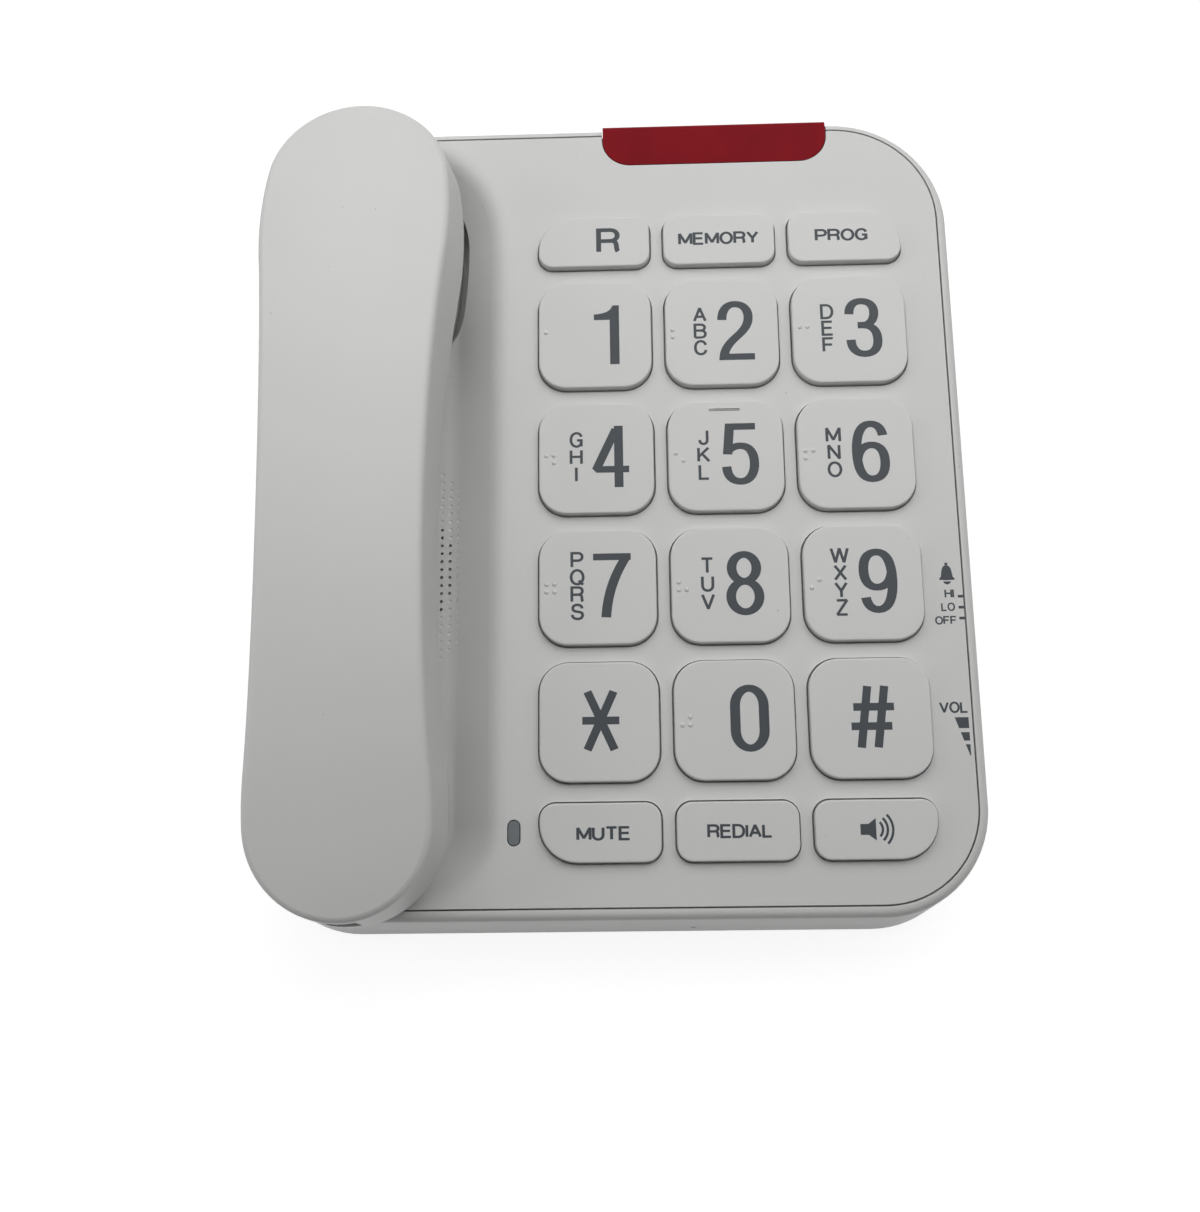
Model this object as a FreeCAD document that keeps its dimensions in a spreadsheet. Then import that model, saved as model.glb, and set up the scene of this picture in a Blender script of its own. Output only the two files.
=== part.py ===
import FreeCAD, Part
import math
import os
import re
import Sketcher

# Corded desk telephone with large keys, in millimetres.
# X runs to the right, Y to the back and Z up; the origin lies under the middle of the base, on the desk.
# The face plate slopes: most pieces are drawn in its own frame, whose origin is the middle of the
# key block on the face, with x to the right, y up the slope and z out of the face.

V = FreeCAD.Vector
UPRIGHT = FreeCAD.Rotation()

SIZES = [
    # name, size, what it is
    ("face_tilt", 9.0, "slope of the face, degrees"),
    ("cradle_margin", 29.0, "case left of the handset's axis"),
    ("cradle_gap", 10.93, "face between the cradle channel and the key block"),
    ("key_margin", 13.03, "face right of the key block"),
    ("mouth_overhang", 1.6, "mouth end of the handset past the front of the case"),
    ("ear_margin", 1.1, "case behind the ear end of the handset"),
    ("front_height", 26.0, "face above the desk at the front rim"),
    ("foot_height", 2.0, "gap under the lower case"),
    ("case_wall", 2.4, "lower case floor and rim"),
    ("case_ledge", 1.2, "step inside the rim that carries the face plate"),
    ("rim_groove", 0.45, "gap round the face plate"),
    ("rim_round", 2.2, "bead round the top of the case"),
    ("front_corner", 26.5, "plan radius of the two front corners"),
    ("rear_corner", 30.0, "plan radius of the two back corners"),
    ("cover_wall", 2.5, "face plate thickness"),
    ("slip", 0.25, "clearance round a fitted piece"),
    ("rest_gap", 0.1, "gap at a face that only rests"),
    # keys
    ("key_width", 30.0, "every key, left to right"),
    ("key_pitch", 33.57, "column to column"),
    ("row_pitch", 34.31, "row to row of the number keys"),
    ("key_round", 7.5, "corner radius of a number key"),
    ("block_round", 9.5, "outer corner radius of the key block"),
    ("bar_round", 4.0, "corner radius of a function key"),
    ("bar_height", 14.6, "function key, top to bottom"),
    ("top_bar_offset", 78.27, "upper function keys above the middle of the block"),
    ("low_bar_offset", 78.66, "lower function keys below it"),
    ("key_proud", 2.0, "key top above the face"),
    ("key_gap", 0.35, "gap round a key"),
    ("flange_lip", 1.2, "flange of a key beyond its side"),
    ("flange_thick", 1.2, "thickness of that flange"),
    ("key_shell", 2.2, "top and sides of a hollow key"),
    ("dome_width", 9.0, "rubber dome under a key"),
    ("dome_height", 4.2, "rubber dome under a key"),
    ("mat_thick", 1.0, "rubber key mat"),
    ("five_bar_length", 8.0, "raised bar on the middle key"),
    ("five_bar_width", 1.0, "raised bar on the middle key"),
    ("five_bar_proud", 0.5, "raised bar on the middle key"),
    # cradle
    ("cradle_half", 34.5, "half width of the cradle channel at the face"),
    ("cradle_slope", 38.0, "slope of the channel walls, degrees"),
    ("cradle_depth", 9.5, "channel floor below the face"),
    ("channel_corner_front", 20.0, "front corners of the channel, seen on the face"),
    ("channel_corner_rear", 30.0, "rear corners of the channel"),
    ("cradle_round", 8.0, "round at the top of the channel walls"),
    ("cradle_fillet", 5.0, "round at the foot of the channel walls"),
    ("well_depth", 16.0, "ear and mouth wells below the face"),
    ("well_wall", 2.0, "walls of both wells"),
    ("well_end_gap", 0.6, "gap between a cap and its well, at the tip"),
    ("ear_well_gap", 2.6, "gap between the ear cap and its well, at the sides"),
    ("mouth_well_gap", 1.2, "gap between the mouth cap and its well, at the sides"),
    ("well_lead", 1.5, "wells longer than the caps, at their inner ends"),
    # handset, drawn along the same axis
    ("top_height", 30.8, "crown of the handset above the face, at its middle"),
    ("arch_radius", 456.0, "arch of the handset's back"),
    ("arch_middle", 5.0, "place of the middle of that arch"),
    ("crown_radius", 150.0, "cross curve of the handset's back"),
    ("shoulder_round", 1.8, "round edge of the handset's back"),
    ("parting_height", 9.0, "lower edge of the handset's sides at its middle"),
    ("parting_radius", 1000.0, "arch of that edge"),
    ("lobe_flank", 110.0, "flank radius of both ends of the handset"),
    ("ear_tip", 112.6, "rear tip of the handset"),
    ("ear_half", 26.6, "half width of the ear end"),
    ("ear_widest", 74.0, "place of the widest ear section"),
    ("mouth_tip", 100.9, "front tip of the handset"),
    ("mouth_half", 24.5, "half width of the mouth end"),
    ("mouth_widest", 72.0, "place of the widest mouth section"),
    ("grip_half", 20.5, "half width of the grip"),
    ("end_draft", 3.2, "ends of the handset drawn in towards its back"),
    ("grip_draft", 0.5, "grip drawn in towards its back"),
    ("handset_wall", 2.2, "wall of both handset shells"),
    ("cap_clear", 0.3, "gap under the ear and mouth caps"),
    ("cap_inner", 50.5, "inner side of both caps at the foot"),
    ("cap_round", 1.5, "round at the foot of the caps"),
    ("ear_cap_in", 6.2, "ear cap short of the handset's rear tip"),
    ("mouth_cap_in", 5.6, "mouth cap short of the handset's front tip"),
    ("ear_cap_side_in", 3.6, "ear cap inside the handset's sides"),
    ("mouth_cap_side_in", 4.0, "mouth cap inside the handset's sides"),
    ("ear_cap_widest", 80.0, "place of the widest section of the ear cap"),
    ("mouth_cap_widest", 74.0, "place of the widest section of the mouth cap"),
    ("cap_corner", 16.0, "inner corners of both caps"),
    ("hole_radius", 0.8, "sound holes in the caps"),
    ("receiver_radius", 17.0, "earpiece receiver"),
    ("receiver_height", 8.0, "earpiece receiver"),
    ("gasket_thick", 1.0, "ring under the receiver"),
    ("gasket_width", 3.0, "ring under the receiver"),
    ("capsule_radius", 4.9, "microphone capsules"),
    ("capsule_height", 5.0, "microphone capsules"),
    ("boot_wall", 1.6, "rubber boots round the microphones"),
    ("weight_length", 36.0, "steel weight in the grip"),
    ("weight_width", 22.0, "steel weight in the grip"),
    ("weight_height", 5.0, "steel weight in the grip"),
    ("grip_screw", 32.0, "handset screws from the middle of the grip"),
    # screws and feet
    ("screw_radius", 1.5, "screw shanks"),
    ("head_radius", 2.8, "screw heads"),
    ("head_height", 1.6, "screw heads"),
    ("boss_radius", 3.2, "bosses that the screws bite into"),
    ("post_radius", 4.6, "posts that the case screws pass"),
    ("post_top", 18.0, "top of those posts above the desk"),
    ("post_land", 6.0, "thickness of a post above the screw head"),
    ("screw_bite", 9.0, "screw length inside a boss"),
    ("case_screw_out", 5.3, "case screws outside the key block"),
    ("case_screw_rear", 60.0, "case screws behind the block centre"),
    ("case_screw_front", 68.0, "case screws before it"),
    ("foot_radius", 6.0, "rubber feet"),
    ("foot_recess", 0.8, "feet let into the floor"),
    ("foot_in", 22.0, "feet from the sides, the front and the back"),
    ("keyhole_pitch", 80.0, "wall mounting keyholes, one to the other"),
    ("keyhole_radius", 4.5, "round part of a keyhole"),
    ("keyhole_slot", 2.2, "half width of its slot"),
    ("keyhole_rise", 9.0, "length of its slot"),
    # boards
    ("board_thick", 1.6, "main circuit board"),
    ("board_margin", 1.5, "main board beyond the key block, at the sides"),
    ("board_front", 8.2, "main board beyond the key block, at the front"),
    ("board_rear", 10.4, "main board beyond the key block, at the back"),
    ("board_corner", 20.0, "front right corner of the main board"),
    ("board_screw_in", 3.6, "board screws from the front and back edges"),
    ("rear_board_screws", 40.0, "rear board screws from the block centre"),
    ("front_board_screws", 20.0, "front board screws from the block centre"),
    ("chip_side", 14.0, "processor on the main board"),
    ("can_radius", 4.0, "capacitors on the main board"),
    ("can_height", 9.0, "capacitors on the main board"),
    ("coil_side", 15.0, "line transformer on the main board"),
    # lights
    ("lens_left", 30.9, "ring lens, left of the block centre"),
    ("lens_right", 30.3, "ring lens, right of it"),
    ("lens_depth", 11.5, "ring lens before the back edge of the face"),
    ("lens_proud", 1.2, "ring lens past the back wall"),
    ("lens_drop", 14.0, "ring lens down the back wall"),
    ("lens_thick", 2.4, "ring lens"),
    ("lens_corner", 7.5, "front corners of the ring lens"),
    ("lens_bend", 2.0, "bend of the ring lens"),
    ("strip_half", 36.5, "half length of the light board"),
    ("strip_width", 6.0, "light board"),
    ("strip_thick", 1.2, "light board"),
    ("strip_post", 34.2, "light board posts from the block centre"),
    ("strip_drop", 3.6, "light board under the face plate"),
    ("lamp_length", 3.2, "lamps on the light board"),
    ("lamp_height", 1.2, "lamps on the light board"),
    ("lamp_pitch", 15.0, "lamps on the light board"),
    ("status_gap", 6.33, "status light left of the key block"),
    ("status_y", 78.4, "status light before the block centre"),
    ("status_half", 1.4, "half width of the status light"),
    ("status_length", 6.0, "status light"),
    # loudspeaker
    ("speaker_shift", 1.5, "loudspeaker right of the handset's axis"),
    ("speaker_y", 9.1, "loudspeaker before the block centre"),
    ("speaker_radius", 25.0, "loudspeaker rim"),
    ("speaker_rim", 1.0, "thickness of that rim"),
    ("rim_width", 3.0, "loudspeaker rim"),
    ("basket_depth", 9.0, "loudspeaker basket"),
    ("basket_wall", 0.8, "sheet of the basket"),
    ("magnet_radius", 14.0, "loudspeaker magnet"),
    ("magnet_height", 6.0, "loudspeaker magnet"),
    ("cone_wall", 0.5, "loudspeaker cone"),
    ("speaker_screw_ring", 28.4, "loudspeaker screws from its axis"),
    ("speaker_head", 4.6, "wide heads of those screws"),
    ("grille_pitch", 4.34, "sound holes in the channel floor"),
    ("grille_radius", 21.0, "field of sound holes"),
    ("grille_hole", 0.5, "sound holes"),
    # hook switch
    ("plunger_in", 10.4, "hook plunger before the tip of the ear cap"),
    ("plunger_radius", 3.6, "hook plunger"),
    ("plunger_proud", 0.15, "hook plunger above the well floor"),
    ("plunger_stem", 8.9, "hook plunger under the well floor"),
    ("plunger_flange", 1.2, "collar of the plunger"),
    ("collar_radius", 5.0, "collar of the plunger"),
    ("spring_length", 6.0, "hook spring, pressed"),
    ("spring_radius", 4.0, "hook spring"),
    ("spring_wire", 0.8, "hook spring"),
    ("hook_switch_width", 16.0, "hook switch"),
    ("hook_switch_depth", 8.0, "hook switch"),
    ("hook_switch_height", 6.0, "hook switch"),
    ("hook_leg", 2.0, "legs that hold the hook switch"),
    ("tab_y", 58.0, "hanging tab behind the block centre"),
    ("tab_width", 12.0, "hanging tab"),
    ("tab_thick", 2.0, "hanging tab"),
    ("tab_depth", 6.0, "hanging tab"),
    # slide switches on the right side
    ("slide_height", 20.0, "slide knobs above the desk"),
    ("ringer_y", 30.1, "middle of the ringer slot before the centre"),
    ("ringer_travel", 5.5, "ringer knob, end to end"),
    ("volume_y", 62.3, "middle of the volume slot before the centre"),
    ("volume_travel", 6.9, "volume knob, end to end"),
    ("knob_length", 7.0, "slide knobs"),
    ("knob_height", 4.4, "slide knobs"),
    ("knob_proud", 1.2, "slide knobs"),
    ("knob_rib", 0.4, "grooves across the knobs"),
    ("stem_length", 3.0, "stem of a slide knob"),
    ("stem_height", 2.0, "stem of a slide knob"),
    ("slide_switch_depth", 6.0, "slide switches"),
    ("slide_switch_height", 7.0, "slide switches"),
    ("slide_switch_ends", 3.5, "slide switches beyond the travel"),
    # sockets
    ("line_width", 13.2, "line socket"),
    ("line_bore", 9.8, "line socket, width of the bore"),
    ("line_x", 40.0, "line socket right of the middle"),
    ("cord_width", 11.2, "handset sockets"),
    ("cord_bore", 7.8, "handset sockets, width of the bore"),
    ("cord_y", 44.0, "handset socket before the middle of the base"),
    ("socket_height", 8.8, "all sockets"),
    ("socket_bore", 6.8, "all sockets, height of the bore"),
    ("socket_depth", 13.0, "all sockets"),
    ("socket_reach", 11.5, "all sockets, depth of the bore"),
    ("latch_width", 3.4, "latch notch of a socket"),
    ("latch_height", 1.2, "latch notch of a socket"),
    ("socket_lift", 8.0, "sockets of the base above the desk"),
    ("socket_inset", 2.8, "handset socket behind the inside of the shell's tip"),
    # hands-free microphone
    ("base_mic_left", 10.7, "hands-free microphone left of the block centre"),
    ("base_mic_height", 9.6, "hands-free microphone above the desk"),
    ("mic_hole", 0.8, "its hole in the front wall"),
]

FOLLOWING = [
    # name, formula on the sizes above, what it is
    ("block_half", "key_pitch + key_width / 2", "half width of the key block"),
    ("block_front", "low_bar_offset + bar_height / 2", "key block before its centre"),
    ("block_rear", "top_bar_offset + bar_height / 2", "key block behind its centre"),
    ("cradle_from_keys", "block_half + cradle_gap + cradle_half", "handset's axis left of the block centre"),
    ("keypad_from_right", "block_half + key_margin", "block centre from the right side"),
    ("case_width", "cradle_margin + cradle_from_keys + keypad_from_right", "base, left to right"),
    ("keypad_from_front", "mouth_tip - mouth_overhang", "block centre from the front"),
    ("face_rear", "ear_tip + ear_margin", "back edge of the face behind the block centre"),
    ("case_depth", "keypad_from_front + face_rear", "base, measured up the face"),
    ("plan_half", "case_depth * cos(face_tilt) / 2", "half depth of the base seen from above"),
    ("cradle_front", "keypad_from_front - case_wall - rim_groove", "front end of the channel"),
    ("cradle_rear", "face_rear - case_wall - rim_groove", "rear end of the channel"),
    ("ear_cap_tip", "ear_tip - ear_cap_in", "rear end of the ear cap"),
    ("ear_cap_half", "ear_half - ear_cap_side_in", "half width of the ear cap"),
    ("mouth_cap_tip", "mouth_tip - mouth_cap_in", "front end of the mouth cap"),
    ("mouth_cap_half", "mouth_half - mouth_cap_side_in", "half width of the mouth cap"),
    ("ear_well_tip", "ear_cap_tip + well_end_gap", "rear end of the ear well"),
    ("ear_well_half", "ear_cap_half + ear_well_gap", "half width of the ear well"),
    ("mouth_well_tip", "mouth_cap_tip + well_end_gap", "front end of the mouth well"),
    ("mouth_well_half", "mouth_cap_half + mouth_well_gap", "half width of the mouth well"),
    ("plunger_y", "ear_cap_tip - plunger_in", "hook plunger behind the block centre"),
    ("lens_front", "face_rear - lens_depth", "front edge of the ring lens"),
    ("status_x", "block_half + status_gap", "status light left of the block centre"),
    ("speaker_x", "cradle_from_keys - speaker_shift", "loudspeaker left of the block centre"),
    ("case_screw_x", "block_half + case_screw_out", "case screws beside the block centre"),
    ("foot_x", "case_width / 2 - foot_in", "feet from the middle, to the sides"),
    ("foot_y", "plan_half - foot_in", "feet from the middle, to the front and back"),
]

doc = FreeCAD.newDocument("telephone")
sheet = doc.addObject("Spreadsheet::Sheet", "Sizes")
cells = [(alias, str(number), meaning) for alias, number, meaning in SIZES]
cells += [(alias, f"={text}", meaning) for alias, text, meaning in FOLLOWING]
for row, (alias, content, meaning) in enumerate(cells, 1):
    sheet.set(f"A{row}", alias)
    sheet.set(f"B{row}", content)
    sheet.setAlias(f"B{row}", alias)
    sheet.set(f"C{row}", meaning)
doc.recompute()

NAMES = re.compile(r"\b(" + "|".join(alias for alias, _, _ in cells) + r")\b")


def formula(text):
    """An expression on the sheet's cells, from one written with their bare names."""
    return NAMES.sub(r"Sizes.\1", str(text))


def value(text):
    """What such an expression comes to."""
    answer = sheet.evalExpression(formula(text))
    return float(getattr(answer, "Value", answer))


def bind(thing, place, text):
    thing.setExpression(place, formula(text))


# Where the face frame stands in the telephone's own frame.
FACE_X = "(case_width / 2 - keypad_from_right)"
FACE_Y = "(-(case_depth / 2 - keypad_from_front) * cos(face_tilt))"
FACE_Z = "(front_height + keypad_from_front * sin(face_tilt))"


def stand_on_face(thing, x="0", y="0", z="0"):
    """Places a thing drawn in the face frame, shifted by x, y and z in that frame."""
    thing.Placement = FreeCAD.Placement(V(), FreeCAD.Rotation(V(1, 0, 0), value("face_tilt")))
    bind(thing, ".Placement.Base.x", f"{FACE_X} + ({x})")
    bind(thing, ".Placement.Base.y", f"{FACE_Y} + ({y}) * cos(face_tilt) - ({z}) * sin(face_tilt)")
    bind(thing, ".Placement.Base.z", f"{FACE_Z} + ({y}) * sin(face_tilt) + ({z}) * cos(face_tilt)")
    bind(thing, ".Placement.Rotation.Angle", "face_tilt")


def new_body(label):
    body = doc.addObject("PartDesign::Body", label)
    body.Label = label
    return body


def plane(body, role):
    return next(f for f in body.Origin.OriginFeatures if f.Role == role)


def new_sketch(body, name, role="XY_Plane", lift="0", tilted=False):
    """A sketch on one of the body's planes, lifted along its normal, or on the sloping face plane."""
    sketch = body.newObject("Sketcher::SketchObject", f"{body.Name}_{name}")
    sketch.AttachmentSupport = [(plane(body, role), "")]
    sketch.MapMode = "FlatFace"
    if tilted:
        sketch.AttachmentOffset = FreeCAD.Placement(V(), FreeCAD.Rotation(V(1, 0, 0), value("face_tilt")))
        bind(sketch, ".AttachmentOffset.Base.x", FACE_X)
        bind(sketch, ".AttachmentOffset.Base.y", f"{FACE_Y} - ({lift}) * sin(face_tilt)")
        bind(sketch, ".AttachmentOffset.Base.z", f"{FACE_Z} + ({lift}) * cos(face_tilt)")
        bind(sketch, ".AttachmentOffset.Rotation.Angle", "face_tilt")
    else:
        sketch.AttachmentOffset = FreeCAD.Placement(V(0, 0, value(lift)), UPRIGHT)
        bind(sketch, ".AttachmentOffset.Base.z", lift)
    return sketch


def fix(sketch, kind, first, end, text):
    """Holds one point of a sketch at a distance from its origin, bound to the sheet."""
    number = sketch.addConstraint(Sketcher.Constraint(kind, -1, 1, first, end, value(text)))
    bind(sketch, f"Constraints[{number}]", text)


def rounded(sketch, left, right, low, high, corners="0"):
    """A four-sided outline. corners is one radius, or four from the low left one, anticlockwise."""
    radii = [corners] * 4 if isinstance(corners, str) else list(corners)
    r = [value(t) for t in radii]
    x0, x1, y0, y1 = (value(t) for t in (left, right, low, high))
    n = sketch.GeometryCount
    sketch.addGeometry(
        [
            Part.LineSegment(V(x0 + r[0], y0), V(x1 - r[1], y0)),
            Part.LineSegment(V(x1, y0 + r[1]), V(x1, y1 - r[2])),
            Part.LineSegment(V(x1 - r[2], y1), V(x0 + r[3], y1)),
            Part.LineSegment(V(x0, y1 - r[3]), V(x0, y0 + r[0])),
        ]
    )
    rules = [
        Sketcher.Constraint("Horizontal", n),
        Sketcher.Constraint("Vertical", n + 1),
        Sketcher.Constraint("Horizontal", n + 2),
        Sketcher.Constraint("Vertical", n + 3),
    ]
    centres = [(x0, y0, 1, 1, 2), (x1, y0, -1, 1, 3), (x1, y1, -1, -1, 0), (x0, y1, 1, -1, 1)]
    for i, (x, y, sx, sy, quarter) in enumerate(centres):
        before, after = n + (i - 1) % 4, n + i
        if r[i] == 0:
            rules.append(Sketcher.Constraint("Coincident", before, 2, after, 1))
            continue
        circle = Part.Circle(V(x + sx * r[i], y + sy * r[i]), V(0, 0, 1), r[i])
        start = quarter * math.pi / 2
        arc = sketch.addGeometry(Part.ArcOfCircle(circle, start, start + math.pi / 2))
        rules.append(Sketcher.Constraint("Tangent", before, 2, arc, 1))
        rules.append(Sketcher.Constraint("Tangent", arc, 2, after, 1))
        number = sketch.addConstraint(Sketcher.Constraint("Radius", arc, r[i]))
        bind(sketch, f"Constraints[{number}]", radii[i])
    sketch.addConstraint(rules)
    fix(sketch, "DistanceX", n + 3, 1, left)
    fix(sketch, "DistanceX", n + 1, 1, right)
    fix(sketch, "DistanceY", n, 1, low)
    fix(sketch, "DistanceY", n + 2, 1, high)


def ring(sketch, x, y, radius):
    """A circle."""
    n = sketch.addGeometry(Part.Circle(V(value(x), value(y)), V(0, 0, 1), value(radius)))
    fix(sketch, "DistanceX", n, 3, x)
    fix(sketch, "DistanceY", n, 3, y)
    number = sketch.addConstraint(Sketcher.Constraint("Radius", n, value(radius)))
    bind(sketch, f"Constraints[{number}]", radius)


def stadium(sketch, x, low, high, radius):
    """Two half circles, one at each end of a straight run along the sketch's y."""
    cx, y0, y1, r = (value(t) for t in (x, low, high, radius))
    n = sketch.GeometryCount
    upper = Part.Circle(V(cx, y1 - r), V(0, 0, 1), r)
    lower = Part.Circle(V(cx, y0 + r), V(0, 0, 1), r)
    sketch.addGeometry(
        [
            Part.ArcOfCircle(upper, 0, math.pi),
            Part.LineSegment(V(cx - r, y1 - r), V(cx - r, y0 + r)),
            Part.ArcOfCircle(lower, math.pi, 2 * math.pi),
            Part.LineSegment(V(cx + r, y0 + r), V(cx + r, y1 - r)),
        ]
    )
    sketch.addConstraint([Sketcher.Constraint("Tangent", n + i, 2, n + (i + 1) % 4, 1) for i in range(4)])
    fix(sketch, "DistanceX", n, 3, x)
    fix(sketch, "DistanceY", n, 3, f"({high}) - ({radius})")
    fix(sketch, "DistanceY", n + 2, 3, f"({low}) + ({radius})")
    number = sketch.addConstraint(Sketcher.Constraint("Radius", n, r))
    bind(sketch, f"Constraints[{number}]", radius)
    sketch.addConstraint(Sketcher.Constraint("Vertical", n + 1))


def polygon(sketch, points):
    """Straight lines through the given points, each bound to the sheet."""
    n = sketch.GeometryCount
    spots = [V(value(x), value(y)) for x, y in points]
    count = len(spots)
    sketch.addGeometry([Part.LineSegment(spots[i], spots[(i + 1) % count]) for i in range(count)])
    for i in range(count):
        sketch.addConstraint(Sketcher.Constraint("Coincident", n + i, 2, n + (i + 1) % count, 1))
    for i, (x, y) in enumerate(points):
        fix(sketch, "DistanceX", n + i, 1, x)
        fix(sketch, "DistanceY", n + i, 1, y)


def grow(body, kind, sketch, name, **settings):
    """Adds a feature made from a sketch and checks that it changed the volume the right way."""
    before = body.Shape.Volume if body.Shape.Faces else 0.0
    feature = body.newObject(f"PartDesign::{kind}", f"{body.Name}_{name}")
    feature.Profile = sketch
    bound = settings.pop("bound", {})
    for key, setting in settings.items():
        setattr(feature, key, setting)
    for key, text in bound.items():
        bind(feature, key, text)
    doc.recompute()
    after = body.Shape.Volume
    adds = kind in ("Pad", "Revolution", "AdditiveLoft", "AdditivePipe")
    if (after <= before + 1e-6) if adds else (after >= before - 1e-6):
        raise RuntimeError(f"{feature.Name} left the solid at {after:.1f} mm3, {feature.State}")
    return feature


def pad(body, sketch, name, length, **settings):
    return grow(body, "Pad", sketch, name, bound={"Length": length}, **settings)


def pocket(body, sketch, name, depth=None, **settings):
    """Cuts against the sketch's normal, to a depth or right through."""
    if depth is None:
        return grow(body, "Pocket", sketch, name, Type="ThroughAll", **settings)
    return grow(body, "Pocket", sketch, name, bound={"Length": depth}, **settings)


def edges_where(body, rule):
    """Names of the body's edges that a rule picks, given each edge's box and middle."""
    picked = []
    for number, edge in enumerate(body.Shape.Edges, 1):
        # the rule sees the edge in the body's own frame
        local = edge.copy()
        local.transformShape(body.Placement.inverse().toMatrix())
        box = local.BoundBox
        if rule(box, local):
            picked.append(f"Edge{number}")
    return picked


def dress(body, kind, name, rule, **bound):
    """A fillet or chamfer on the edges that a rule picks."""
    base = body.Tip
    names = edges_where(body, rule)
    if not names:
        raise RuntimeError(f"{body.Name} {name}: no edge to dress")
    feature = body.newObject(f"PartDesign::{kind}", f"{body.Name}_{name}")
    feature.Base = (base, names)
    for key, text in bound.items():
        bind(feature, key, text)
    doc.recompute()
    if "Invalid" in feature.State or not feature.Shape.isValid():
        raise RuntimeError(f"{feature.Name} failed on {names}")
    return feature


# Places worked out from the sizes

CAP_FOOT = "(-(well_depth - cap_clear))"
CRADLE_RUN = "(cradle_depth / tan(cradle_slope))"
COVER_INSET = "(case_wall + rim_groove)"
INNER_INSET = "(case_wall + rim_groove + case_ledge)"
FLOOR = "(foot_height + case_wall)"
FLANGE_TOP = "(-(cover_wall + rest_gap))"
FLANGE_FOOT = "(-(cover_wall + rest_gap + flange_thick))"
MAT_TOP = "(-(cover_wall + flange_thick + dome_height))"
BOARD_TOP = f"({MAT_TOP} - mat_thick)"
BOARD_FOOT = f"({BOARD_TOP} - board_thick)"
BOWL_FOOT = "(-(cradle_depth + cover_wall))"
WELL_FOOT = "(-(well_depth + cover_wall))"
CAP_FLOOR = f"({CAP_FOOT} + handset_wall)"
STRIP_TOP = "(-(cover_wall + strip_drop))"
STATUS_TOP = f"({BOARD_TOP} + lamp_height)"
HOOK_TOP = f"({WELL_FOOT} - plunger_stem - spring_length)"
HOOK_FOOT = f"({HOOK_TOP} - hook_switch_height)"
SWITCH_FACE = f"(case_width / 2 - {INNER_INSET})"
SOCKET_FRONT = "(mouth_tip - handset_wall - socket_inset)"


# Plain pieces, each with its lowest corner or its lower end at a place bound to the sheet

def place(thing, x, y, z):
    for axis, text in zip("xyz", (x, y, z)):
        bind(thing, f".Placement.Base.{axis}", text)
    return thing


def block(x0, x1, y0, y1, z0, z1):
    thing = doc.addObject("Part::Box", "Block")
    bind(thing, "Length", f"({x1}) - ({x0})")
    bind(thing, "Width", f"({y1}) - ({y0})")
    bind(thing, "Height", f"({z1}) - ({z0})")
    return place(thing, x0, y0, z0)


def centred_block(x, y, width, depth, z0, z1):
    across, along = f"({width}) / 2", f"({depth}) / 2"
    return block(f"({x}) - {across}", f"({x}) + {across}", f"({y}) - {along}", f"({y}) + {along}", z0, z1)


def rod(x, y, z0, z1, radius):
    thing = doc.addObject("Part::Cylinder", "Rod")
    bind(thing, "Radius", radius)
    bind(thing, "Height", f"({z1}) - ({z0})")
    return place(thing, x, y, z0)


def prism(x, y, z0, z1, radius, sides):
    thing = doc.addObject("Part::Prism", "Prism")
    thing.Polygon = sides
    bind(thing, "Circumradius", radius)
    bind(thing, "Height", f"({z1}) - ({z0})")
    return place(thing, x, y, z0)


def joined(label, things):
    whole = doc.addObject("Part::MultiFuse", label)
    whole.Shapes = things
    whole.Label = label
    return whole


def group(label, things):
    whole = doc.addObject("Part::Compound", label)
    whole.Links = things
    whole.Label = label
    return whole


def cut(label, base, tool):
    whole = doc.addObject("Part::Cut", label)
    whole.Base = base
    whole.Tool = tool
    whole.Label = label
    return whole


def screw(x, y, z0, z1, head_radius="head_radius"):
    """A screw driven upwards, drawn with few sides: its head lies under z0 and its shank ends at z1."""
    head = prism(x, y, f"({z0}) - head_height", z0, head_radius, 12)
    shank = prism(x, y, z0, z1, "screw_radius", 8)
    return joined("Screw", [head, shank])


# Outlines of the case

def face_outline(sketch, inset, drop="0", right=None):
    """The case in the face plane, or at a depth below it, drawn in by an inset; its walls stay upright."""
    shift = f"({drop}) * tan(face_tilt)"
    front, rear = f"front_corner - ({inset})", f"rear_corner - ({inset})"
    corners = [front, front, rear, rear] if right is None else [front, "0", "0", rear]
    rounded(
        sketch,
        f"-(case_width - keypad_from_right - ({inset}))",
        right or f"keypad_from_right - ({inset})",
        f"-(keypad_from_front - ({inset})) - {shift}",
        f"face_rear - ({inset}) - {shift}",
        corners,
    )


def plan_outline(sketch, inset):
    """The case seen from above, drawn in by an inset."""
    front, rear = f"front_corner - ({inset})", f"rear_corner - ({inset})"
    across, deep = f"(case_width / 2 - ({inset}))", f"(plan_half - ({inset}))"
    rounded(sketch, f"-{across}", across, f"-{deep}", deep, [front, front, rear, rear])


def channel_outline(sketch, spread):
    """The cradle channel at one level, wider than at the face by a spread."""
    half = f"(cradle_half + ({spread}))"
    left, right = f"-cradle_from_keys - {half}", f"-cradle_from_keys + {half}"
    low, high = f"-(cradle_front + ({spread}))", f"cradle_rear + ({spread})"
    front, rear = f"channel_corner_front + ({spread})", f"channel_corner_rear + ({spread})"
    rounded(sketch, left, right, low, high, [front, front, rear, rear])


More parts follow.
